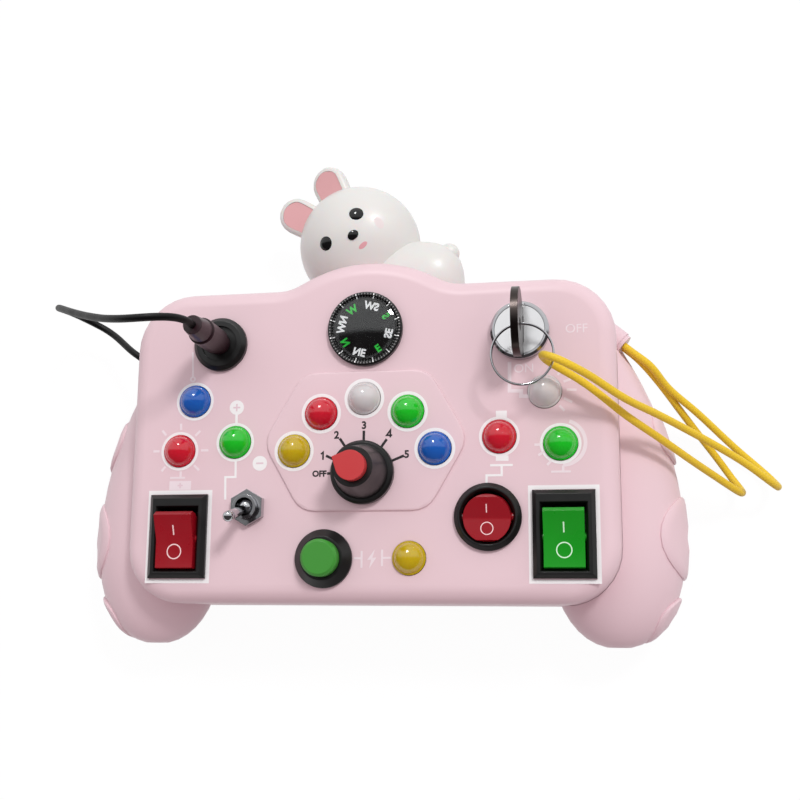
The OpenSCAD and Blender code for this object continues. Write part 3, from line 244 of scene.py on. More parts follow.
class Finish:
    """A material in the making, listed by its name, with short ways to add and join nodes."""

    def __init__(self, name):
        finishes[name] = self
        self.material = bpy.data.materials.new(name)
        self.material.use_nodes = True
        self.tree = self.material.node_tree
        self.shader = self.tree.nodes["Principled BSDF"]

    def add(self, kind, settings=None, **sockets):
        node = self.tree.nodes.new(kind)
        for name, value in (settings or {}).items():
            setattr(node, name, value)
        for name, value in sockets.items():
            node.inputs[name.replace("_", " ")].default_value = value
        return node

    def join(self, source, target):
        self.tree.links.new(source, target)

    def set(self, **sockets):
        for name, value in sockets.items():
            self.shader.inputs[name.replace("_", " ")].default_value = value

    def place(self):
        return self.add("ShaderNodeTexCoord").outputs["Object"]

    def noise(self, size_mm, detail=2.0, stretch=None):
        """Noise whose patches are about size_mm across; stretch lengthens them along an axis."""
        where = self.place()
        if stretch:
            scale = self.add("ShaderNodeMapping", Scale=stretch)
            self.join(where, scale.inputs["Vector"])
            where = scale.outputs["Vector"]
        texture = self.add("ShaderNodeTexNoise", Scale=1000 / size_mm, Detail=detail)
        self.join(where, texture.inputs["Vector"])
        return texture.outputs["Fac"]

    def between(self, value, low, high, start=0.3, end=0.7):
        return spread(self.tree, value, low, high, start, end).outputs["Result"]

    def tinted(self, factor, first, second):
        """The first colour where factor is 0, the second where it is 1."""
        mix = self.add("ShaderNodeMix", {"data_type": "RGBA"})
        self.join(factor, mix.inputs["Factor"])
        mix.inputs[MIX_FIRST].default_value = first
        mix.inputs[MIX_SECOND].default_value = second
        return mix.outputs[MIX_RESULT]

    def relief(self, height, depth_mm, strength=1.0, edge_mm=0.0):
        """Bump from a height between 0 and 1, over edges whose shading is rounded by edge_mm."""
        bump = self.add("ShaderNodeBump", Strength=strength, Distance=depth_mm * MM)
        self.join(height, bump.inputs["Height"])
        if edge_mm:
            edge = self.add("ShaderNodeBevel", {"samples": 6}, Radius=edge_mm * MM)
            self.join(edge.outputs["Normal"], bump.inputs["Normal"])
        self.join(bump.outputs["Normal"], self.shader.inputs["Normal"])


print("finish helpers ready")


# %% Kinds of finish
COLOUR_PATCH, GLOSS_PATCH, SMEAR, SCRATCH = 18, 5, 3, 0.2  # millimetres across


def moulded(name, colour, rough, grain_mm=0.3, depth_mm=0.004, uneven=0.04, edge_mm=0.0, swing=0.05):
    """Moulded plastic: slow patches in the colour, a gloss that swings a little, the mould's fine grain."""
    finish = Finish(name)
    patches = finish.noise(COLOUR_PATCH)
    finish.join(finish.tinted(patches, shade(colour, 1 - uneven), shade(colour, 1 + uneven)),
                finish.shader.inputs["Base Color"])
    gloss = finish.between(finish.noise(GLOSS_PATCH), rough - swing, rough + swing)
    finish.join(gloss, finish.shader.inputs["Roughness"])
    finish.relief(finish.noise(grain_mm, 3), depth_mm, edge_mm=edge_mm)
    return finish


def metal(name, colour, rough, scratch=(1, 1, 1), depth_mm=0.001, edge_mm=0.1):
    """Plated or turned metal with fine scratches and a gloss that varies."""
    finish = Finish(name)
    finish.set(Metallic=1.0)
    smears = finish.noise(SMEAR, 3)
    finish.join(finish.tinted(smears, shade(colour, 0.9), colour), finish.shader.inputs["Base Color"])
    finish.join(finish.between(smears, rough, rough + 0.1), finish.shader.inputs["Roughness"])
    finish.relief(finish.noise(SCRATCH, 2, stretch=scratch), depth_mm, edge_mm=edge_mm)
    return finish


def lens(name, colour, rough=0.16):
    """A lamp's moulded lens: coloured through, so light sinks in a little, under a polished skin."""
    finish = moulded(name, colour, rough, grain_mm=1.2, depth_mm=0.003, uneven=0.05)
    finish.set(Subsurface_Weight=0.2, Subsurface_Scale=1.5 * MM, IOR=1.5)
    finish.set(Coat_Weight=0.6, Coat_Roughness=0.05)
    finish.shader.inputs["Subsurface Radius"].default_value = (1.0, 0.6, 0.5)
    return finish


moulded("shell_pink", paint(231, 203, 209), 0.38, depth_mm=0.002, uneven=0.015, swing=0.01)
finishes["shell_pink"].set(Specular_IOR_Level=0.25)
moulded("ear_pink", paint(228, 172, 174), 0.42, uneven=0.04)
moulded("black_plastic", paint(20, 20, 20), 0.36, edge_mm=0.25)
moulded("dark_maroon_plastic", paint(46, 26, 32), 0.34, edge_mm=0.25)
moulded("black_rubber", paint(10, 10, 11), 0.5, grain_mm=0.2, depth_mm=0.006)
finishes["black_rubber"].set(Specular_IOR_Level=0.25)
moulded("blue_plastic", paint(42, 78, 150), 0.4, edge_mm=0.15)
moulded("red_plastic", paint(156, 12, 28), 0.3, uneven=0.03, edge_mm=0.2)
moulded("green_plastic", paint(16, 152, 26), 0.3, uneven=0.03, edge_mm=0.2)
lens("red_lens", paint(203, 22, 44))
lens("green_lens", paint(22, 192, 34))
lens("blue_lens", paint(24, 92, 182))
lens("yellow_lens", paint(196, 168, 16))
lens("white_lens", paint(210, 205, 205), 0.2)
metal("bright_steel", paint(190, 190, 193), 0.07)
metal("plain_steel", paint(205, 204, 206), 0.22, scratch=(1, 8, 1), depth_mm=0.002)
metal("dark_steel", paint(70, 63, 61), 0.26, scratch=(1, 1, 6), depth_mm=0.003)
metal("brass", paint(205, 168, 92), 0.2)
print(len(finishes), "finishes made")


# %% [markdown]
# ## Finishes with a pattern of their own
# The rabbit is soft vinyl, so light goes a little way into it. The yellow cord is braided over elastic: two
# sets of slanting ridges in the tube's own map. The dome is clear plastic. The circuit board is a pattern of
# bricks and the battery wrap a plain wave, because both are hidden.


# %% Vinyl, braid, clear plastic, board and battery wrap
def vinyl_white():
    finish = moulded("rabbit_white", paint(224, 222, 218), 0.36, grain_mm=0.6, depth_mm=0.004, uneven=0.02)
    finish.set(Subsurface_Weight=0.15, Subsurface_Scale=1.2 * MM, Coat_Weight=0.12, Coat_Roughness=0.2)


def braided_yellow():
    finish = Finish("yellow_cord")
    where = finish.add("ShaderNodeUVMap", {"uv_map": "along_and_around"}).outputs["UV"]
    heights = []
    for turn in (1, -1):
        slant = finish.add("ShaderNodeMapping", Scale=(1300, 6 * turn, 1))
        finish.join(where, slant.inputs["Vector"])
        wave = finish.add("ShaderNodeTexWave", {"bands_direction": "DIAGONAL"}, Scale=0.5, Distortion=0.4)
        finish.join(slant.outputs["Vector"], wave.inputs["Vector"])
        heights.append(wave.outputs["Fac"])
    braid = larger(finish.tree, *heights)
    yellow = paint(238, 200, 34)
    # Painted shade: the grooves between the braid's ridges are coloured a tenth darker, as if shaded.
    finish.join(finish.tinted(braid, shade(yellow, 0.9), yellow), finish.shader.inputs["Base Color"])
    finish.set(Roughness=0.6, Sheen_Weight=0.2)
    finish.relief(braid, 0.04, 0.3)


def clear_dome():
    finish = Finish("clear_plastic")
    finish.set(Base_Color=paint(250, 251, 252), Transmission_Weight=1.0, IOR=1.49)
    finish.join(finish.between(finish.noise(3, 2), 0.03, 0.06), finish.shader.inputs["Roughness"])


def board_green():
    finish = Finish("circuit_board")
    tracks = finish.add("ShaderNodeTexBrick", Scale=180, Color1=paint(18, 96, 58), Color2=paint(14, 84, 50),
                        Mortar=paint(60, 140, 84), Mortar_Size=0.04)
    finish.join(finish.place(), tracks.inputs["Vector"])
    finish.join(tracks.outputs["Color"], finish.shader.inputs["Base Color"])
    finish.set(Roughness=0.3)
    finish.relief(tracks.outputs["Fac"], 0.03, 0.4)


def battery_wrap():
    finish = Finish("cell_wrap")
    bands = finish.add("ShaderNodeTexWave", {"bands_direction": "X"}, Scale=14, Distortion=0.0)
    finish.join(finish.place(), bands.inputs["Vector"])
    step = finish.between(bands.outputs["Fac"], 0.0, 1.0, 0.45, 0.5)
    wrap = finish.tinted(step, paint(52, 54, 60), paint(190, 150, 84))
    finish.join(wrap, finish.shader.inputs["Base Color"])
    finish.set(Metallic=0.3)
    finish.join(finish.between(finish.noise(3), 0.25, 0.4), finish.shader.inputs["Roughness"])


for make in (vinyl_white, braided_yellow, clear_dome, board_green, battery_wrap):
    make()
moulded("eye_black", paint(16, 15, 16), 0.12, grain_mm=2, depth_mm=0.002)
moulded("card_black", paint(8, 8, 8), 0.6, uneven=0.1)
finishes["card_black"].set(Specular_IOR_Level=0.15)
moulded("button_green", paint(62, 148, 50), 0.4, uneven=0.03, edge_mm=0.25)
moulded("pointer_red", paint(198, 52, 55), 0.42, uneven=0.03, edge_mm=0.2)
metal("polished_lock", paint(246, 245, 246), 0.14, scratch=(1, 10, 1), depth_mm=0.002)
print(len(finishes), "finishes made")

# %% Give every solid its finish
OWN_FINISH = {
    "rabbit_eyes": "eye_black", "rabbit_nose": "eye_black", "compass_card": "card_black",
    "button_cap": "button_green", "knob_pointer": "pointer_red", "lock_plug": "polished_lock",
    "lock_barrel": "bright_steel",
}


def coat(piece, finish):
    piece.data.materials.clear()
    piece.data.materials.append(finishes[finish].material)


for part in frame["record"]["subparts"]:
    coat(frame["nodes"][part["node"]], OWN_FINISH.get(part["node"], part["material_slot"]))
coat(plug_lead, "black_rubber")
coat(ring_cord, "yellow_cord")

# %% [markdown]
# ## The button's spring
# A spring is the one hidden piece that changes its shape: it shortens as the button goes down. Here it is
# a coil of wire drawn at rest in the CAD spring's place, and it rides on the housing.

# %% Return spring
SPRING_WIRE = 0.5 * MM
SPRING_TURNS = 5


def coil_path(low, high, steps=20):
    """The middle line of a coil spring between the corners of its box."""
    middle_x, middle_y, r = (low.x + high.x) / 2, (low.y + high.y) / 2, (high.x - low.x - SPRING_WIRE) / 2
    path = []
    for i in range(SPRING_TURNS * steps + 1):
        turn = math.tau * i / steps
        rise = SPRING_WIRE / 2 + (high.z - low.z - SPRING_WIRE) * i / (SPRING_TURNS * steps)
        path.append(Vector((middle_x + r * math.cos(turn), middle_y + r * math.sin(turn), low.z + rise)))
    return path


spring_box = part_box("button_spring")
return_spring, wire_length = tube("return_spring", coil_path(*spring_box), SPRING_WIRE / 2, sides=8)
coat(return_spring, "plain_steel")
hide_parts("button_spring")
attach(return_spring, "housing")
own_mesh(return_spring)
print(f"spring of {wire_length * 1000:.0f} mm of wire")

# %% [markdown]
# ## Smooth shading
# The solids arrive as triangles. Shading each triangle flat would show facets on the grips and the head,
# and smoothing everything would blur real corners. A small geometry-nodes tree welds the points, smooths the
# faces and keeps every edge sharp that turns more than a limit. The Weighted Normal modifier then lets
# large flat faces keep their own direction, so the panel stays flat right up to its rounded edge.


# %% Smooth faces, keep corners
SHARP_ABOVE = 35
WELD_WITHIN = 0.002 * MM
ROUND_ALL_OVER = ("compass_dome", "rabbit_figure", "rabbit_eyes", "rabbit_nose", "toggle_lever")


def smoothing_tree(limit_degrees):
    tree = bpy.data.node_groups.new(f"smooth_below_{limit_degrees}", "GeometryNodeTree")
    tree.interface.new_socket("Geometry", in_out="INPUT", socket_type="NodeSocketGeometry")
    tree.interface.new_socket("Geometry", in_out="OUTPUT", socket_type="NodeSocketGeometry")
    begin, end = tree.nodes.new("NodeGroupInput"), tree.nodes.new("NodeGroupOutput")
    weld = tree.nodes.new("GeometryNodeMergeByDistance")
    weld.inputs["Distance"].default_value = WELD_WITHIN
    smooth = tree.nodes.new("GeometryNodeSetShadeSmooth")
    crease = tree.nodes.new("GeometryNodeSetShadeSmooth")
    crease.domain = "EDGE"
    crease.inputs["Shade Smooth"].default_value = False
    angle = tree.nodes.new("GeometryNodeInputMeshEdgeAngle")
    sharp = tree.nodes.new("FunctionNodeCompare")
    sharp.inputs[1].default_value = math.radians(limit_degrees)
    for source, target in (
        (begin.outputs[0], weld.inputs[0]), (weld.outputs[0], smooth.inputs[0]),
        (smooth.outputs[0], crease.inputs[0]), (angle.outputs[0], sharp.inputs[0]),
        (sharp.outputs[0], crease.inputs["Selection"]), (crease.outputs[0], end.inputs[0]),
    ):
        tree.links.new(source, target)
    return tree


gentle = smoothing_tree(SHARP_ABOVE)
for name, node in frame["nodes"].items():
    node.modifiers.new("smooth", "NODES").node_group = gentle
    if name not in ROUND_ALL_OVER:
        weighted = node.modifiers.new("flat_faces", "WEIGHTED_NORMAL")
        weighted.keep_sharp = True
print("smoothed", len(frame["nodes"]), "solids")

# %% [markdown]
# ## Printed marks
# The marks round the lamps and switches are ink, a few hundredths of a millimetre thick. Each mark is drawn
# as a thin film with its own edge, standing on the face that carries it: rings, strokes, bars and discs in
# millimetres on the panel. A film catches light as ink does, and needs no picture. Some of the white on the
# real board is faint, so there is an ink that covers and one that is worn thin, besides the coloured ones.


# %% Shapes for the printer, in millimetres
INK_STEP = 0.0005
INK_STEPS = 23
SHARPEST_MITRE = 0.3


def circle(x, y, r, steps=40):
    turns = [math.tau * k / steps for k in range(steps)]
    return [(x + r * math.cos(turn), y + r * math.sin(turn)) for turn in turns]


def band(x, y, inner, outer, start=0.0, sweep=360.0, steps=48):
    """A ring, or part of one from start through sweep degrees, as a list of four-sided patches."""
    def rim(r, k):
        turn = math.radians(start + sweep * k / steps)
        return (x + r * math.cos(turn), y + r * math.sin(turn))
    return [[rim(inner, k), rim(outer, k), rim(outer, k + 1), rim(inner, k + 1)] for k in range(steps)]


def stroke(points, width):
    """A line of even width through the points, with mitred corners, as four-sided patches."""
    line = [Vector(p) for p in points]
    sides = []
    for i, p in enumerate(line):
        before = (p - line[i - 1]).normalized() if i else (line[1] - p).normalized()
        after = (line[i + 1] - p).normalized() if i < len(line) - 1 else before
        mitre = Vector((-before.y - after.y, before.x + after.x)).normalized()
        reach = width / 2 / max(mitre.dot(Vector((-before.y, before.x))), SHARPEST_MITRE)
        sides.append((p + reach * mitre, p - reach * mitre))
    return [[b[0], b[1], a[1], a[0]] for a, b in zip(sides[1:], sides)]


def bar(x0, y0, x1, y1):
    return [(x0, y0), (x1, y0), (x1, y1), (x0, y1)]


def box_line(x, y, w, h, line):
    """The line round a rectangle, drawn inside its edges."""
    left, right, bottom, top = x - w / 2, x + w / 2, y - h / 2, y + h / 2
    return [bar(left, bottom, right, bottom + line), bar(left, top - line, right, top),
            bar(left, bottom + line, left + line, top - line),
            bar(right - line, bottom + line, right, top - line)]


def film(name, patches, z_mm, finish, body, thick_mm=0.03, lay=None):
    """Thin ink of the given outlines on the plane z_mm, or where lay puts the point (x, y, height).

    Where two outlines overlap, one is a hair higher than the other, so their faces never coincide.
    """
    lay = lay or (lambda x, y, up: Vector((x, y, z_mm + up)) * MM)
    points, faces = [], []
    for i, patch in enumerate(patches):
        n, first, top = len(patch), len(points), thick_mm + INK_STEP * (i % INK_STEPS)
        points += [lay(x, y, top) for x, y in patch] + [lay(x, y, 0.0) for x, y in patch]
        faces.append(tuple(range(first, first + n)))
        for k in range(n):
            a, b = first + k, first + (k + 1) % n
            faces.append((a, a + n, b + n, b))
    piece = mesh_piece(name, points, faces)
    coat(piece, finish)
    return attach(piece, body)


moulded("white_ink", paint(246, 243, 243), 0.45, grain_mm=0.2, uneven=0.02)
moulded("worn_ink", paint(241, 225, 230), 0.42, grain_mm=0.2, uneven=0.03)
moulded("grey_ink", paint(190, 190, 190), 0.5, grain_mm=0.2, uneven=0.1)
moulded("pink_ink", paint(230, 204, 212), 0.42, grain_mm=0.2, uneven=0.03)
moulded("black_ink", paint(34, 26, 30), 0.5, grain_mm=0.2, uneven=0.1)
print("inks mixed")

# %% [markdown]
# ## Where the controls are
# The printed marks have to meet the switches and lamps. The knob, the compass and the rockers give their
# places themselves, by the middle of a solid's box. The lamps of one colour share a solid, so their places
# on the panel are written down.


# %% Places and levels from the frame
def middle(node):
    low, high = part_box(node)
    return Vector(((low.x + high.x) / 2, (low.y + high.y) / 2)) / MM


def away(degrees):
    """A step of one millimetre on the panel, degrees round from the right."""
    return Vector((math.cos(math.radians(degrees)), math.sin(math.radians(degrees))))


PANEL_Z = 36.0
ISLAND_Z = 36.8
LAMP_R = 4.15
LAMP_ARC_R = 18.8
KNOB = middle("knob_body")
COMPASS = middle("compass_case")
ROCKERS = {"left": middle("left_rocker_housing"), "right": middle("right_rocker_housing")}
FLAT_LAMPS = [(-48.5, -2.0), (48.5, -2.0), (-33.7, 0.0), (33.7, 0.0), (-44.9, 10.9)]
ARC_LAMPS = [KNOB + LAMP_ARC_R * away(angle) for angle in (18, 54, 90, 126, 162)]
print("knob at", [round(v, 2) for v in KNOB], "compass at", [round(v, 2) for v in COMPASS])

# %% Rings, frames and the bold symbols
RING_INSIDE = LAMP_R + 0.12
FLAT_RING_OUTSIDE = LAMP_R + 0.85
ARC_RING_OUTSIDE = LAMP_R + 0.95
FRAME_W, FRAME_H, FRAME_LINE = 17.0, 23.4, 1.0
PLUS_AT, MINUS_AT, SIGN_R = (-33.6, 9.0), (-27.0, -5.5), 1.9
LINE_WIDTH, LINE_THICK = 0.55, 0.045
white = []
for x, y in FLAT_LAMPS:
    white += band(x, y, RING_INSIDE, FLAT_RING_OUTSIDE)
for spot in ROCKERS.values():
    white += box_line(spot.x, spot.y, FRAME_W, FRAME_H, FRAME_LINE)
white += [circle(*PLUS_AT, SIGN_R), circle(*MINUS_AT, SIGN_R)]
film("panel_print", white, PANEL_Z, "white_ink", "housing")
lines = [bar(32.9, 4.4, 35.6, 6.4), bar(32.8, -6.0, 35.9, -4.7)]
lines += stroke([(-33.6, 7.2), (-33.55, 4.9)], 0.65)
lines += stroke([(-33.4, -4.9), (-33.3, -8.9), (-36.0, -8.9), (-35.8, -14.6)], LINE_WIDTH)
lines += stroke([(31.4, -7.05), (36.9, -7.05)], LINE_WIDTH)
lines += stroke([(34.2, -7.0), (34.2, -9.5), (30.5, -9.5), (30.5, -11.3)], LINE_WIDTH)
film("panel_lines", lines, PANEL_Z, "white_ink", "housing", LINE_THICK)
arc_rings = []
for spot in ARC_LAMPS:
    arc_rings += band(spot.x, spot.y, RING_INSIDE, ARC_RING_OUTSIDE)
film("island_print", arc_rings, ISLAND_Z, "white_ink", "housing")
print(len(white) + len(lines) + len(arc_rings), "white patches")

# %% Rays and lines in the worn ink
RAY_WIDTH, THIN_WIDTH = 0.6, 0.5
RAYS = [
    ((-48.5, 5.2), (-48.4, 3.5)), ((-42.8, -1.9), (-40.8, -1.9)), ((-55.7, -1.9), (-54.0, -1.9)),
    ((-53.5, 3.5), (-52.4, 2.2)), ((-43.2, 3.2), (-44.5, 1.9)), ((-53.2, -7.1), (-52.2, -5.9)),
    ((-43.1, -7.0), (-44.5, -5.7)), ((-48.0, -7.2), (-48.0, -8.8)), ((48.1, 14.9), (48.9, 15.8)),
    ((49.5, 13.2), (51.4, 13.8)), ((50.2, 11.2), (52.6, 11.1)), ((49.5, 9.1), (51.5, 8.1)),
    ((48.4, 7.3), (49.6, 6.0)), ((42.2, -2.2), (43.7, -2.2)), ((43.1, -4.8), (44.5, -4.0)),
    ((45.2, -7.2), (46.2, -6.2)), ((49.0, -7.4), (49.0, -8.8)),
]
worn = []
for ray in RAYS:
    worn += stroke(ray, RAY_WIDTH)
for line in [((-50.8, -8.87), (-46.8, -8.87)), ((46.1, -8.85), (50.8, -8.85))]:
    worn += stroke(line, THIN_WIDTH)
worn.append(bar(-50.9, -12.0, -45.1, -9.7))
worn += stroke([(-46.1, 24.0), (-45.8, 17.5)], THIN_WIDTH) + band(-45.8, 16.8, 0.35, 0.8, steps=20)
worn += stroke([(36.4, 18.6), (36.3, 11.3), (39.2, 11.2), (39.1, 9.9), (41.0, 9.8)], 0.9)
worn += band(49.0, -1.8, 5.0, 5.9, start=72, sweep=-162, steps=30)
for line in [
    ((-2.2, -29.4), (-0.4, -29.4)), ((-0.3, -27.6), (-0.3, -31.7)),
    ((4.8, -27.3), (4.8, -31.3)), ((4.8, -29.3), (7.1, -29.3)),
]:
    worn += stroke(line, THIN_WIDTH)
worn += [
    [(3.0, -27.2), (1.1, -29.8), (2.1, -29.7)],
    [(1.6, -31.9), (3.4, -29.2), (2.4, -29.3), (2.1, -29.7)],
    [(3.0, -27.2), (2.1, -29.7), (2.4, -29.3)],
]
film("worn_print", worn, PANEL_Z, "worn_ink", "housing")
print(len(worn), "worn patches")

# %% Plus and minus signs, on the ink below them
SIGN_ABOVE = 0.02
HALF_LINE = 0.2
HALF_SIGN, HALF_SMALL_SIGN = 0.95, 0.7
SMALL_PLUS_AT = (-48.0, -10.85)


def crossbar(x, y, long):
    return bar(x - long, y - HALF_LINE, x + long, y + HALF_LINE)


signs = []
for place, long in ((PLUS_AT, HALF_SIGN), (SMALL_PLUS_AT, HALF_SMALL_SIGN)):
    x, y = place
    signs += [crossbar(x, y, long), bar(x - HALF_LINE, y - long, x + HALF_LINE, y + long)]
signs.append(crossbar(*MINUS_AT, HALF_SIGN))
film("sign_print", signs, PANEL_Z + SIGN_ABOVE, "pink_ink", "housing")
print(len(signs), "bars of signs")

# %% [markdown]
# ## Lettering
# A text object knows its letters as curves. Turning it into a mesh gives plain points, which can be turned,
# mirrored and laid on any surface like the other ink. The dial reads OFF and 1 to 5, the lock OFF and ON.
# The compass card carries the eight points of the compass, which read in mirror order in the photograph, so
# they do here.


# %% Letters as patches
CAPITAL_SHARE = 0.73


def letters(words, height, x, y, turn=0.0, mirror=False, weight=0.0):
    """The words as small patches, centred on (x, y), their capitals height tall, in millimetres."""
    curve = bpy.data.curves.new("letters", "FONT")
    curve.body = words
    curve.size = height / CAPITAL_SHARE
    curve.align_x, curve.align_y = "CENTER", "CENTER"
    curve.offset = weight
    curve.resolution_u = 4
    holder = bpy.data.objects.new("letters", curve)
    bpy.context.scene.collection.objects.link(holder)
    bpy.context.view_layer.update()
    mesh = holder.evaluated_get(bpy.context.evaluated_depsgraph_get()).to_mesh()
    cos, sin, flip = math.cos(math.radians(turn)), math.sin(math.radians(turn)), -1 if mirror else 1
    low, high = min(v.co.y for v in mesh.vertices), max(v.co.y for v in mesh.vertices)
    placed = []
    for v in mesh.vertices:
        a, b = v.co.x * flip, v.co.y - (low + high) / 2
        placed.append((x + a * cos - b * sin, y + a * sin + b * cos))
    patches = [[placed[i] for i in face.vertices] for face in mesh.polygons]
    bpy.data.objects.remove(holder)
    bpy.data.curves.remove(curve)
    return patches if flip > 0 else [patch[::-1] for patch in patches]


# %% Dial and lock
TICK_START, TICK_WIDTH = 7.7, 0.65
NUMBER_HEIGHT, OFF_HEIGHT, LOCK_HEIGHT = 1.9, 1.5, 2.3
DIAL = {
    "OFF": (180, 9.2, -11.2, 0), "1": (155, 10.6, -10.4, 4.4), "2": (125, 10.7, -6.95, 9.7),
    "3": (90, 10.6, 0.05, 12.0), "4": (55, 10.2, 6.45, 9.7), "5": (22, 11.0, 10.9, 4.5),
}
DRAWN = {
    "1": ((-0.5, 0.5), (0.05, 0.95), (0.05, -0.95)),
    "4": ((0.3, -0.95), (0.3, 0.9), (-0.65, -0.4), (0.75, -0.4)),
}
dial = []
for label, (angle, tick_end, x, y) in DIAL.items():
    out = away(angle)
    dial += stroke([KNOB + TICK_START * out, KNOB + tick_end * out], TICK_WIDTH)
    spot = KNOB + Vector((x, y))
    if label in DRAWN:
        dial += stroke([spot + Vector(p) for p in DRAWN[label]], 0.4)
    else:
        height = OFF_HEIGHT if label == "OFF" else NUMBER_HEIGHT
        dial += letters(label, height, spot.x, spot.y, weight=0.09)
film("dial_print", dial, ISLAND_Z, "black_ink", "housing")
lock_words = letters("OFF", LOCK_HEIGHT, 52.9, 26.5) + letters("ON", LOCK_HEIGHT, 39.9, 16.9)
film("lock_print", lock_words, PANEL_Z, "worn_ink", "housing")
print(len(dial), "patches on the dial")


# %% Compass card and its rim
def ink_with_painted_glow(name, colour, glow):
    """Ink with a painted glow: light of its own, in place of the light the clear dome keeps off the card."""
    finish = moulded(name, colour, 0.5, grain_mm=0.2, uneven=0.05)
    finish.set(Emission_Color=colour, Emission_Strength=glow)
    return finish


# Painted glow: the card's letters and bold ticks give off light, so that they read bright under the clear dome.
ink_with_painted_glow("green_ink_painted_glow", paint(34, 190, 58), 0.55)
ink_with_painted_glow("white_ink_painted_glow", paint(240, 240, 240), 0.6)
CARD_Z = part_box("compass_card")[1].z / MM
LIP_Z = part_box("compass_case")[1].z / MM
LEDGE_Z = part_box("compass_dome")[0].z / MM
CARD_POINTS = {"W": 124, "NW": 167, "N": 213, "NE": 256, "E": 303, "SE": 347, "S": 31, "SW": 75}
POINT_R, POINT_HEIGHT, CARD_INK = 6.0, 1.8, 0.02
LEDGE_END, LIP_START, LIP_END = 8.66, 8.8, 9.22

for ink, length in (("green_ink_painted_glow", 1), ("white_ink_painted_glow", 2)):
    patches = []
    for point, angle in CARD_POINTS.items():
        if len(point) == length:
            spot = COMPASS + POINT_R * away(angle)
            patches += letters(point, POINT_HEIGHT, spot.x, spot.y, turn=angle - 90, mirror=True, weight=0.1)
    film(f"card_{ink}", patches, CARD_Z, ink, "card", CARD_INK)
for kind, ink, start, wide in (("fine", "grey_ink", 8.2, 0.12), ("bold", "white_ink_painted_glow", 7.85, 0.22)):
    turns = [away(5 * k) for k in range(72) if (k % 6 == 3) == (kind == "bold")]
    for level, z, low, high in (("ledge", LEDGE_Z, start, LEDGE_END), ("lip", LIP_Z, LIP_START, LIP_END)):
        ticks = []
        for out in turns:
            ticks += stroke([COMPASS + low * out, COMPASS + high * out], wide)
        film(f"compass_{kind}_ticks_{level}", ticks, z, ink, "housing", CARD_INK)
print("compass inked")

# %% [markdown]
# ## Marks on the rockers
# A rocker's face is a shallow V, and at rest one half lies flat while the other half stands up. The I and
# the O are inked on those two halves, so their films are laid on sloping planes through the V's valley and
# ride on the paddles.

# %% I and O
PADDLE_TILT = math.radians(11)
VALLEY_ABOVE_PIVOT = 2.6
HALF_I, I_WIDTH = 1.3, 0.35
O_INSIDE, O_OUTSIDE = 1.64, 1.92
MARK_INK = 0.02
PIVOTS = {joint["child"]: Vector(joint["pos_m"]) / MM for joint in frame["joints"] if "pos_m" in joint}


def rocker_marks(body, from_valley, size, ink):
    """An I on the raised half and an O on the flat half of a paddle, both from_valley off the valley."""
    up = Vector((0, -math.sin(PADDLE_TILT), math.cos(PADDLE_TILT)))
    valley = PIVOTS[body] + VALLEY_ABOVE_PIVOT * up

    def lay_on(slope):
        along = Vector((0, math.cos(slope), math.sin(slope)))
        out = Vector((0, -math.sin(slope), math.cos(slope)))
        return lambda x, y, up: (valley + Vector((x, 0, 0)) + y * along + up * out) * MM

    upright = stroke([(0, from_valley - HALF_I * size), (0, from_valley + HALF_I * size)], I_WIDTH * size)
    ring = band(0, -from_valley, O_INSIDE * size, O_OUTSIDE * size)
    film(f"{body}_on_mark", upright, 0, ink, body, MARK_INK, lay_on(2 * PADDLE_TILT))
    film(f"{body}_off_mark", ring, 0, ink, body, MARK_INK, lay_on(0.0))


moulded("ink_on_red", paint(250, 214, 214), 0.45, grain_mm=0.2, uneven=0.02)
moulded("ink_on_green", paint(212, 248, 214), 0.45, grain_mm=0.2, uneven=0.02)
rocker_marks("left_paddle", 2.75, 1.0, "ink_on_red")
rocker_marks("right_paddle", 2.75, 1.0, "ink_on_green")
rocker_marks("round_paddle", 2.45, 0.82, "ink_on_red")
print("rockers marked")

# %% [markdown]
# ## The rabbit's mouth and cheek
# Both are thin paint on a round head, so each is an oval patch laid on the head's sphere: a direction given
# by its turn and height, and a size in millimetres along and across.

# %% Paint on the head
HEAD_R = 16.6
HEAD_AT = Vector((-6.0, 56.7, 17.0))
PAINT_THICK = 0.03


def head_patch(name, turn, height, along, across, lean, finish):
    """An oval patch of paint on the head's sphere; lean turns its long side."""
    a, e = math.radians(turn), math.radians(height)
    out = Vector((math.cos(e) * math.cos(a), math.cos(e) * math.sin(a), math.sin(e)))
    east = Vector((-math.sin(a), math.cos(a), 0))
    north = out.cross(east)
    lean = math.radians(lean)
    u, v = math.cos(lean) * east + math.sin(lean) * north, math.cos(lean) * north - math.sin(lean) * east
    points, faces, rings, around = [HEAD_AT + (HEAD_R + PAINT_THICK) * out], [], 4, 28
    for r in range(1, rings + 1):
        thick = PAINT_THICK if r < rings else 0.0
        for k in range(around):
            t = math.tau * k / around
            flat = out * HEAD_R
            flat += (along / 2 * r / rings * math.cos(t)) * u + (across / 2 * r / rings * math.sin(t)) * v
            points.append(HEAD_AT + (HEAD_R + thick) * flat.normalized())
    for k in range(around):
        faces.append((0, 1 + k, 1 + (k + 1) % around))
        for r in range(rings - 1):
            a0, b0 = 1 + r * around + k, 1 + r * around + (k + 1) % around
            faces.append((a0, a0 + around, b0 + around, b0))
    piece = mesh_piece(name, [p * MM for p in points], faces)
    for face in piece.data.polygons:
        face.use_smooth = True
    coat(piece, finish)
    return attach(piece, "housing")


moulded("mouth_pink", paint(224, 162, 168), 0.4, uneven=0.06)
moulded("cheek_pink", paint(230, 218, 217), 0.36, uneven=0.02)
head_patch("rabbit_mouth", -48.7, 68, 2.7, 1.3, 0, "mouth_pink")
head_patch("rabbit_cheek", 11.5, 60, 3.4, 2.4, 20, "cheek_pink")
print("face painted")

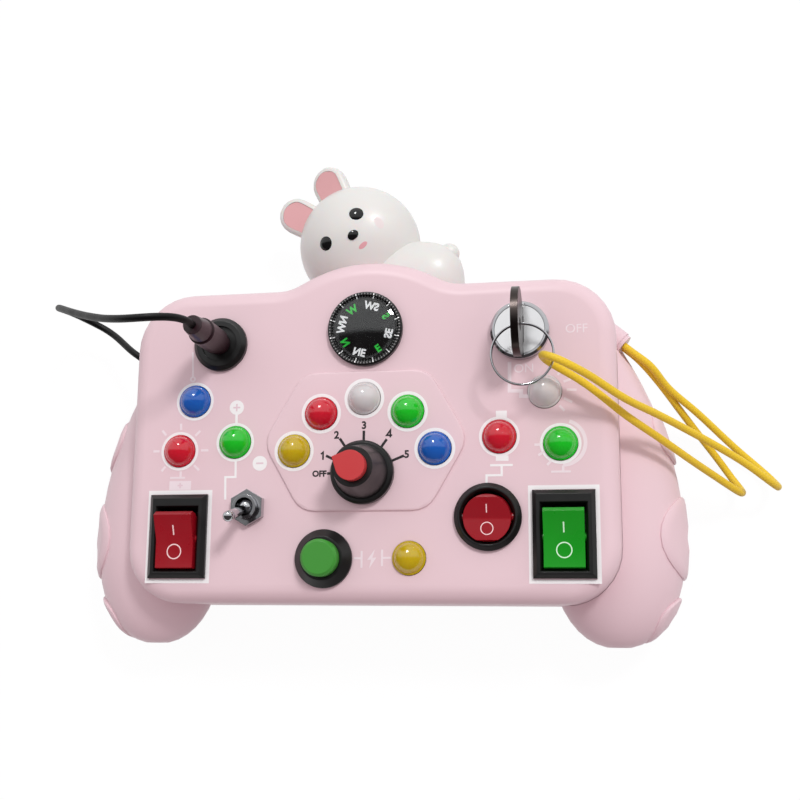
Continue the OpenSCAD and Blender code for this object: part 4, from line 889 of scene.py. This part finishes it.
# %% [markdown]
# ## Stage and light
# The photograph has a plain white ground, a soft key light from the upper right, and a broad soft wall of
# light behind the rabbit, which lightens the upper half of every lamp. The floor shows white to the camera
# and still takes a share of the board's shadow. The front is filled more weakly, with a pinkish light like
# that thrown back by the board itself. Two small lamps only make the bright spots on glossy pieces. A
# photographer keeps such a lamp off a piece with a flag, and light linking does the same here: the dome of
# the compass and the rabbit see one of the two lamps, and all other pieces see the other.


# %% Floor
FLOOR_Z = -0.3 * MM
FLOOR_REACH = 2.0
FLOOR_GLOW, GLOW_SHARE = 1.11, 0.86


def pale_floor():
    """Grey to the light, but mostly a white glow to the camera, to mirrors and through clear plastic."""
    finish = Finish("pale_floor")
    rays = finish.add("ShaderNodeLightPath").outputs
    seen = larger(finish.tree, rays["Is Camera Ray"], rays["Is Glossy Ray"])
    seen = larger(finish.tree, seen, rays["Is Transmission Ray"])
    part = finish.add("ShaderNodeMath", {"operation": "MULTIPLY"})
    part.inputs[1].default_value = GLOW_SHARE
    finish.join(seen, part.inputs[0])
    grey = finish.tinted(finish.noise(40), paint(172, 170, 171), paint(176, 174, 175))
    finish.join(grey, finish.shader.inputs["Base Color"])
    finish.set(Roughness=0.9, Specular_IOR_Level=0.1)
    glow = finish.add("ShaderNodeEmission", Strength=FLOOR_GLOW)
    blend = finish.add("ShaderNodeMixShader")
    finish.join(part.outputs[0], blend.inputs["Fac"])
    finish.join(finish.shader.outputs[0], blend.inputs[1])
    finish.join(glow.outputs[0], blend.inputs[2])
    finish.join(blend.outputs[0], finish.tree.nodes["Material Output"].inputs["Surface"])


pale_floor()
corners = bar(-FLOOR_REACH, -FLOOR_REACH, FLOOR_REACH, FLOOR_REACH)
floor = mesh_piece("floor", [(x, y, FLOOR_Z) for x, y in corners], [(0, 1, 2, 3)])
coat(floor, "pale_floor")
print("floor", FLOOR_REACH * 2, "m wide")


# %% World
WALL_BEGINS, WALL_FULL = 0.02, 0.24
FRONT_MATT, FRONT_MIRRORED = 0.55, 0.07
WALL_MATT, WALL_MIRRORED = 0.92, 0.95
PINK_UNTIL, PALE_FROM = -0.3, 0.1
FRONT_TINT, WALL_TINT = (1.0, 0.84, 0.88, 1.0), (0.98, 0.99, 1.0, 1.0)


def studio_world():
    """White to the camera; to all else a wall of light behind the rabbit and a weaker, pinkish front."""
    world = bpy.data.worlds.new("studio")
    world.use_nodes = True
    tree = world.node_tree
    background = tree.nodes["Background"]
    direction = tree.nodes.new("ShaderNodeSeparateXYZ")
    tree.links.new(tree.nodes.new("ShaderNodeTexCoord").outputs["Generated"], direction.inputs[0])
    to_back = direction.outputs["Y"]
    rays = tree.nodes.new("ShaderNodeLightPath").outputs
    shiny = larger(tree, rays["Is Glossy Ray"], rays["Is Transmission Ray"])
    wall = spread(tree, to_back, 0.0, 1.0, WALL_BEGINS, WALL_FULL)
    wall.interpolation_type = "SMOOTHSTEP"
    for end, matt, mirrored in (("To Min", FRONT_MATT, FRONT_MIRRORED), ("To Max", WALL_MATT, WALL_MIRRORED)):
        tree.links.new(spread(tree, shiny, matt, mirrored).outputs["Result"], wall.inputs[end])
    tree.links.new(larger(tree, wall.outputs["Result"], rays["Is Camera Ray"]), background.inputs["Strength"])
    tint = tree.nodes.new("ShaderNodeMix")
    tint.data_type = "RGBA"
    tint.inputs[MIX_FIRST].default_value = FRONT_TINT
    tint.inputs[MIX_SECOND].default_value = WALL_TINT
    behind = spread(tree, to_back, 0.0, 1.0, PINK_UNTIL, PALE_FROM).outputs["Result"]
    tree.links.new(larger(tree, behind, rays["Is Camera Ray"]), tint.inputs["Factor"])
    tree.links.new(tint.outputs[MIX_RESULT], background.inputs["Color"])
    return world


bpy.context.scene.world = studio_world()
bpy.context.scene.view_settings.view_transform = "Standard"
print("world", bpy.context.scene.world.name)


# %% Lamps and their flags
LIT_MIDDLE = Vector((0.0, 0.0, 0.036))
SPARK_SIZE, SPARK_WATTS = 0.15, 3.0
FLAGGED = ("compass_dome", "rabbit_figure")


def soft_lamp(name, place, size, watts):
    """A square lamp that shines on the middle of the panel and isn't seen through clear plastic."""
    data = bpy.data.lights.new(name, "AREA")
    data.shape = "RECTANGLE"
    data.size = data.size_y = size
    data.energy = watts
    lamp = bpy.data.objects.new(name, data)
    lamp.location = place
    lamp.rotation_euler = (LIT_MIDDLE - Vector(place)).to_track_quat("-Z", "Y").to_euler()
    lamp.visible_transmission = False
    bpy.context.scene.collection.objects.link(lamp)
    return lamp


def spark(name, place, flag_state):
    """A small lamp for bright spots alone, which leaves out the flagged pieces or lights only them."""
    lamp = soft_lamp(name, place, SPARK_SIZE, SPARK_WATTS)
    lamp.visible_diffuse = False
    flags = bpy.data.collections.new(f"{name}_flags")
    for node in FLAGGED:
        flags.objects.link(frame["nodes"][node])
    for flag in flags.collection_objects:
        flag.light_linking.link_state = flag_state
    lamp.light_linking.receiver_collection = flags


key = soft_lamp("key", (0.62, 0.66, 1.22), 0.24, 9.1)
key.visible_glossy = False
spark("high_spark", (-0.1, 0.66, 0.66), "EXCLUDE")
spark("right_spark", (0.46, 0.62, 0.54), "INCLUDE")
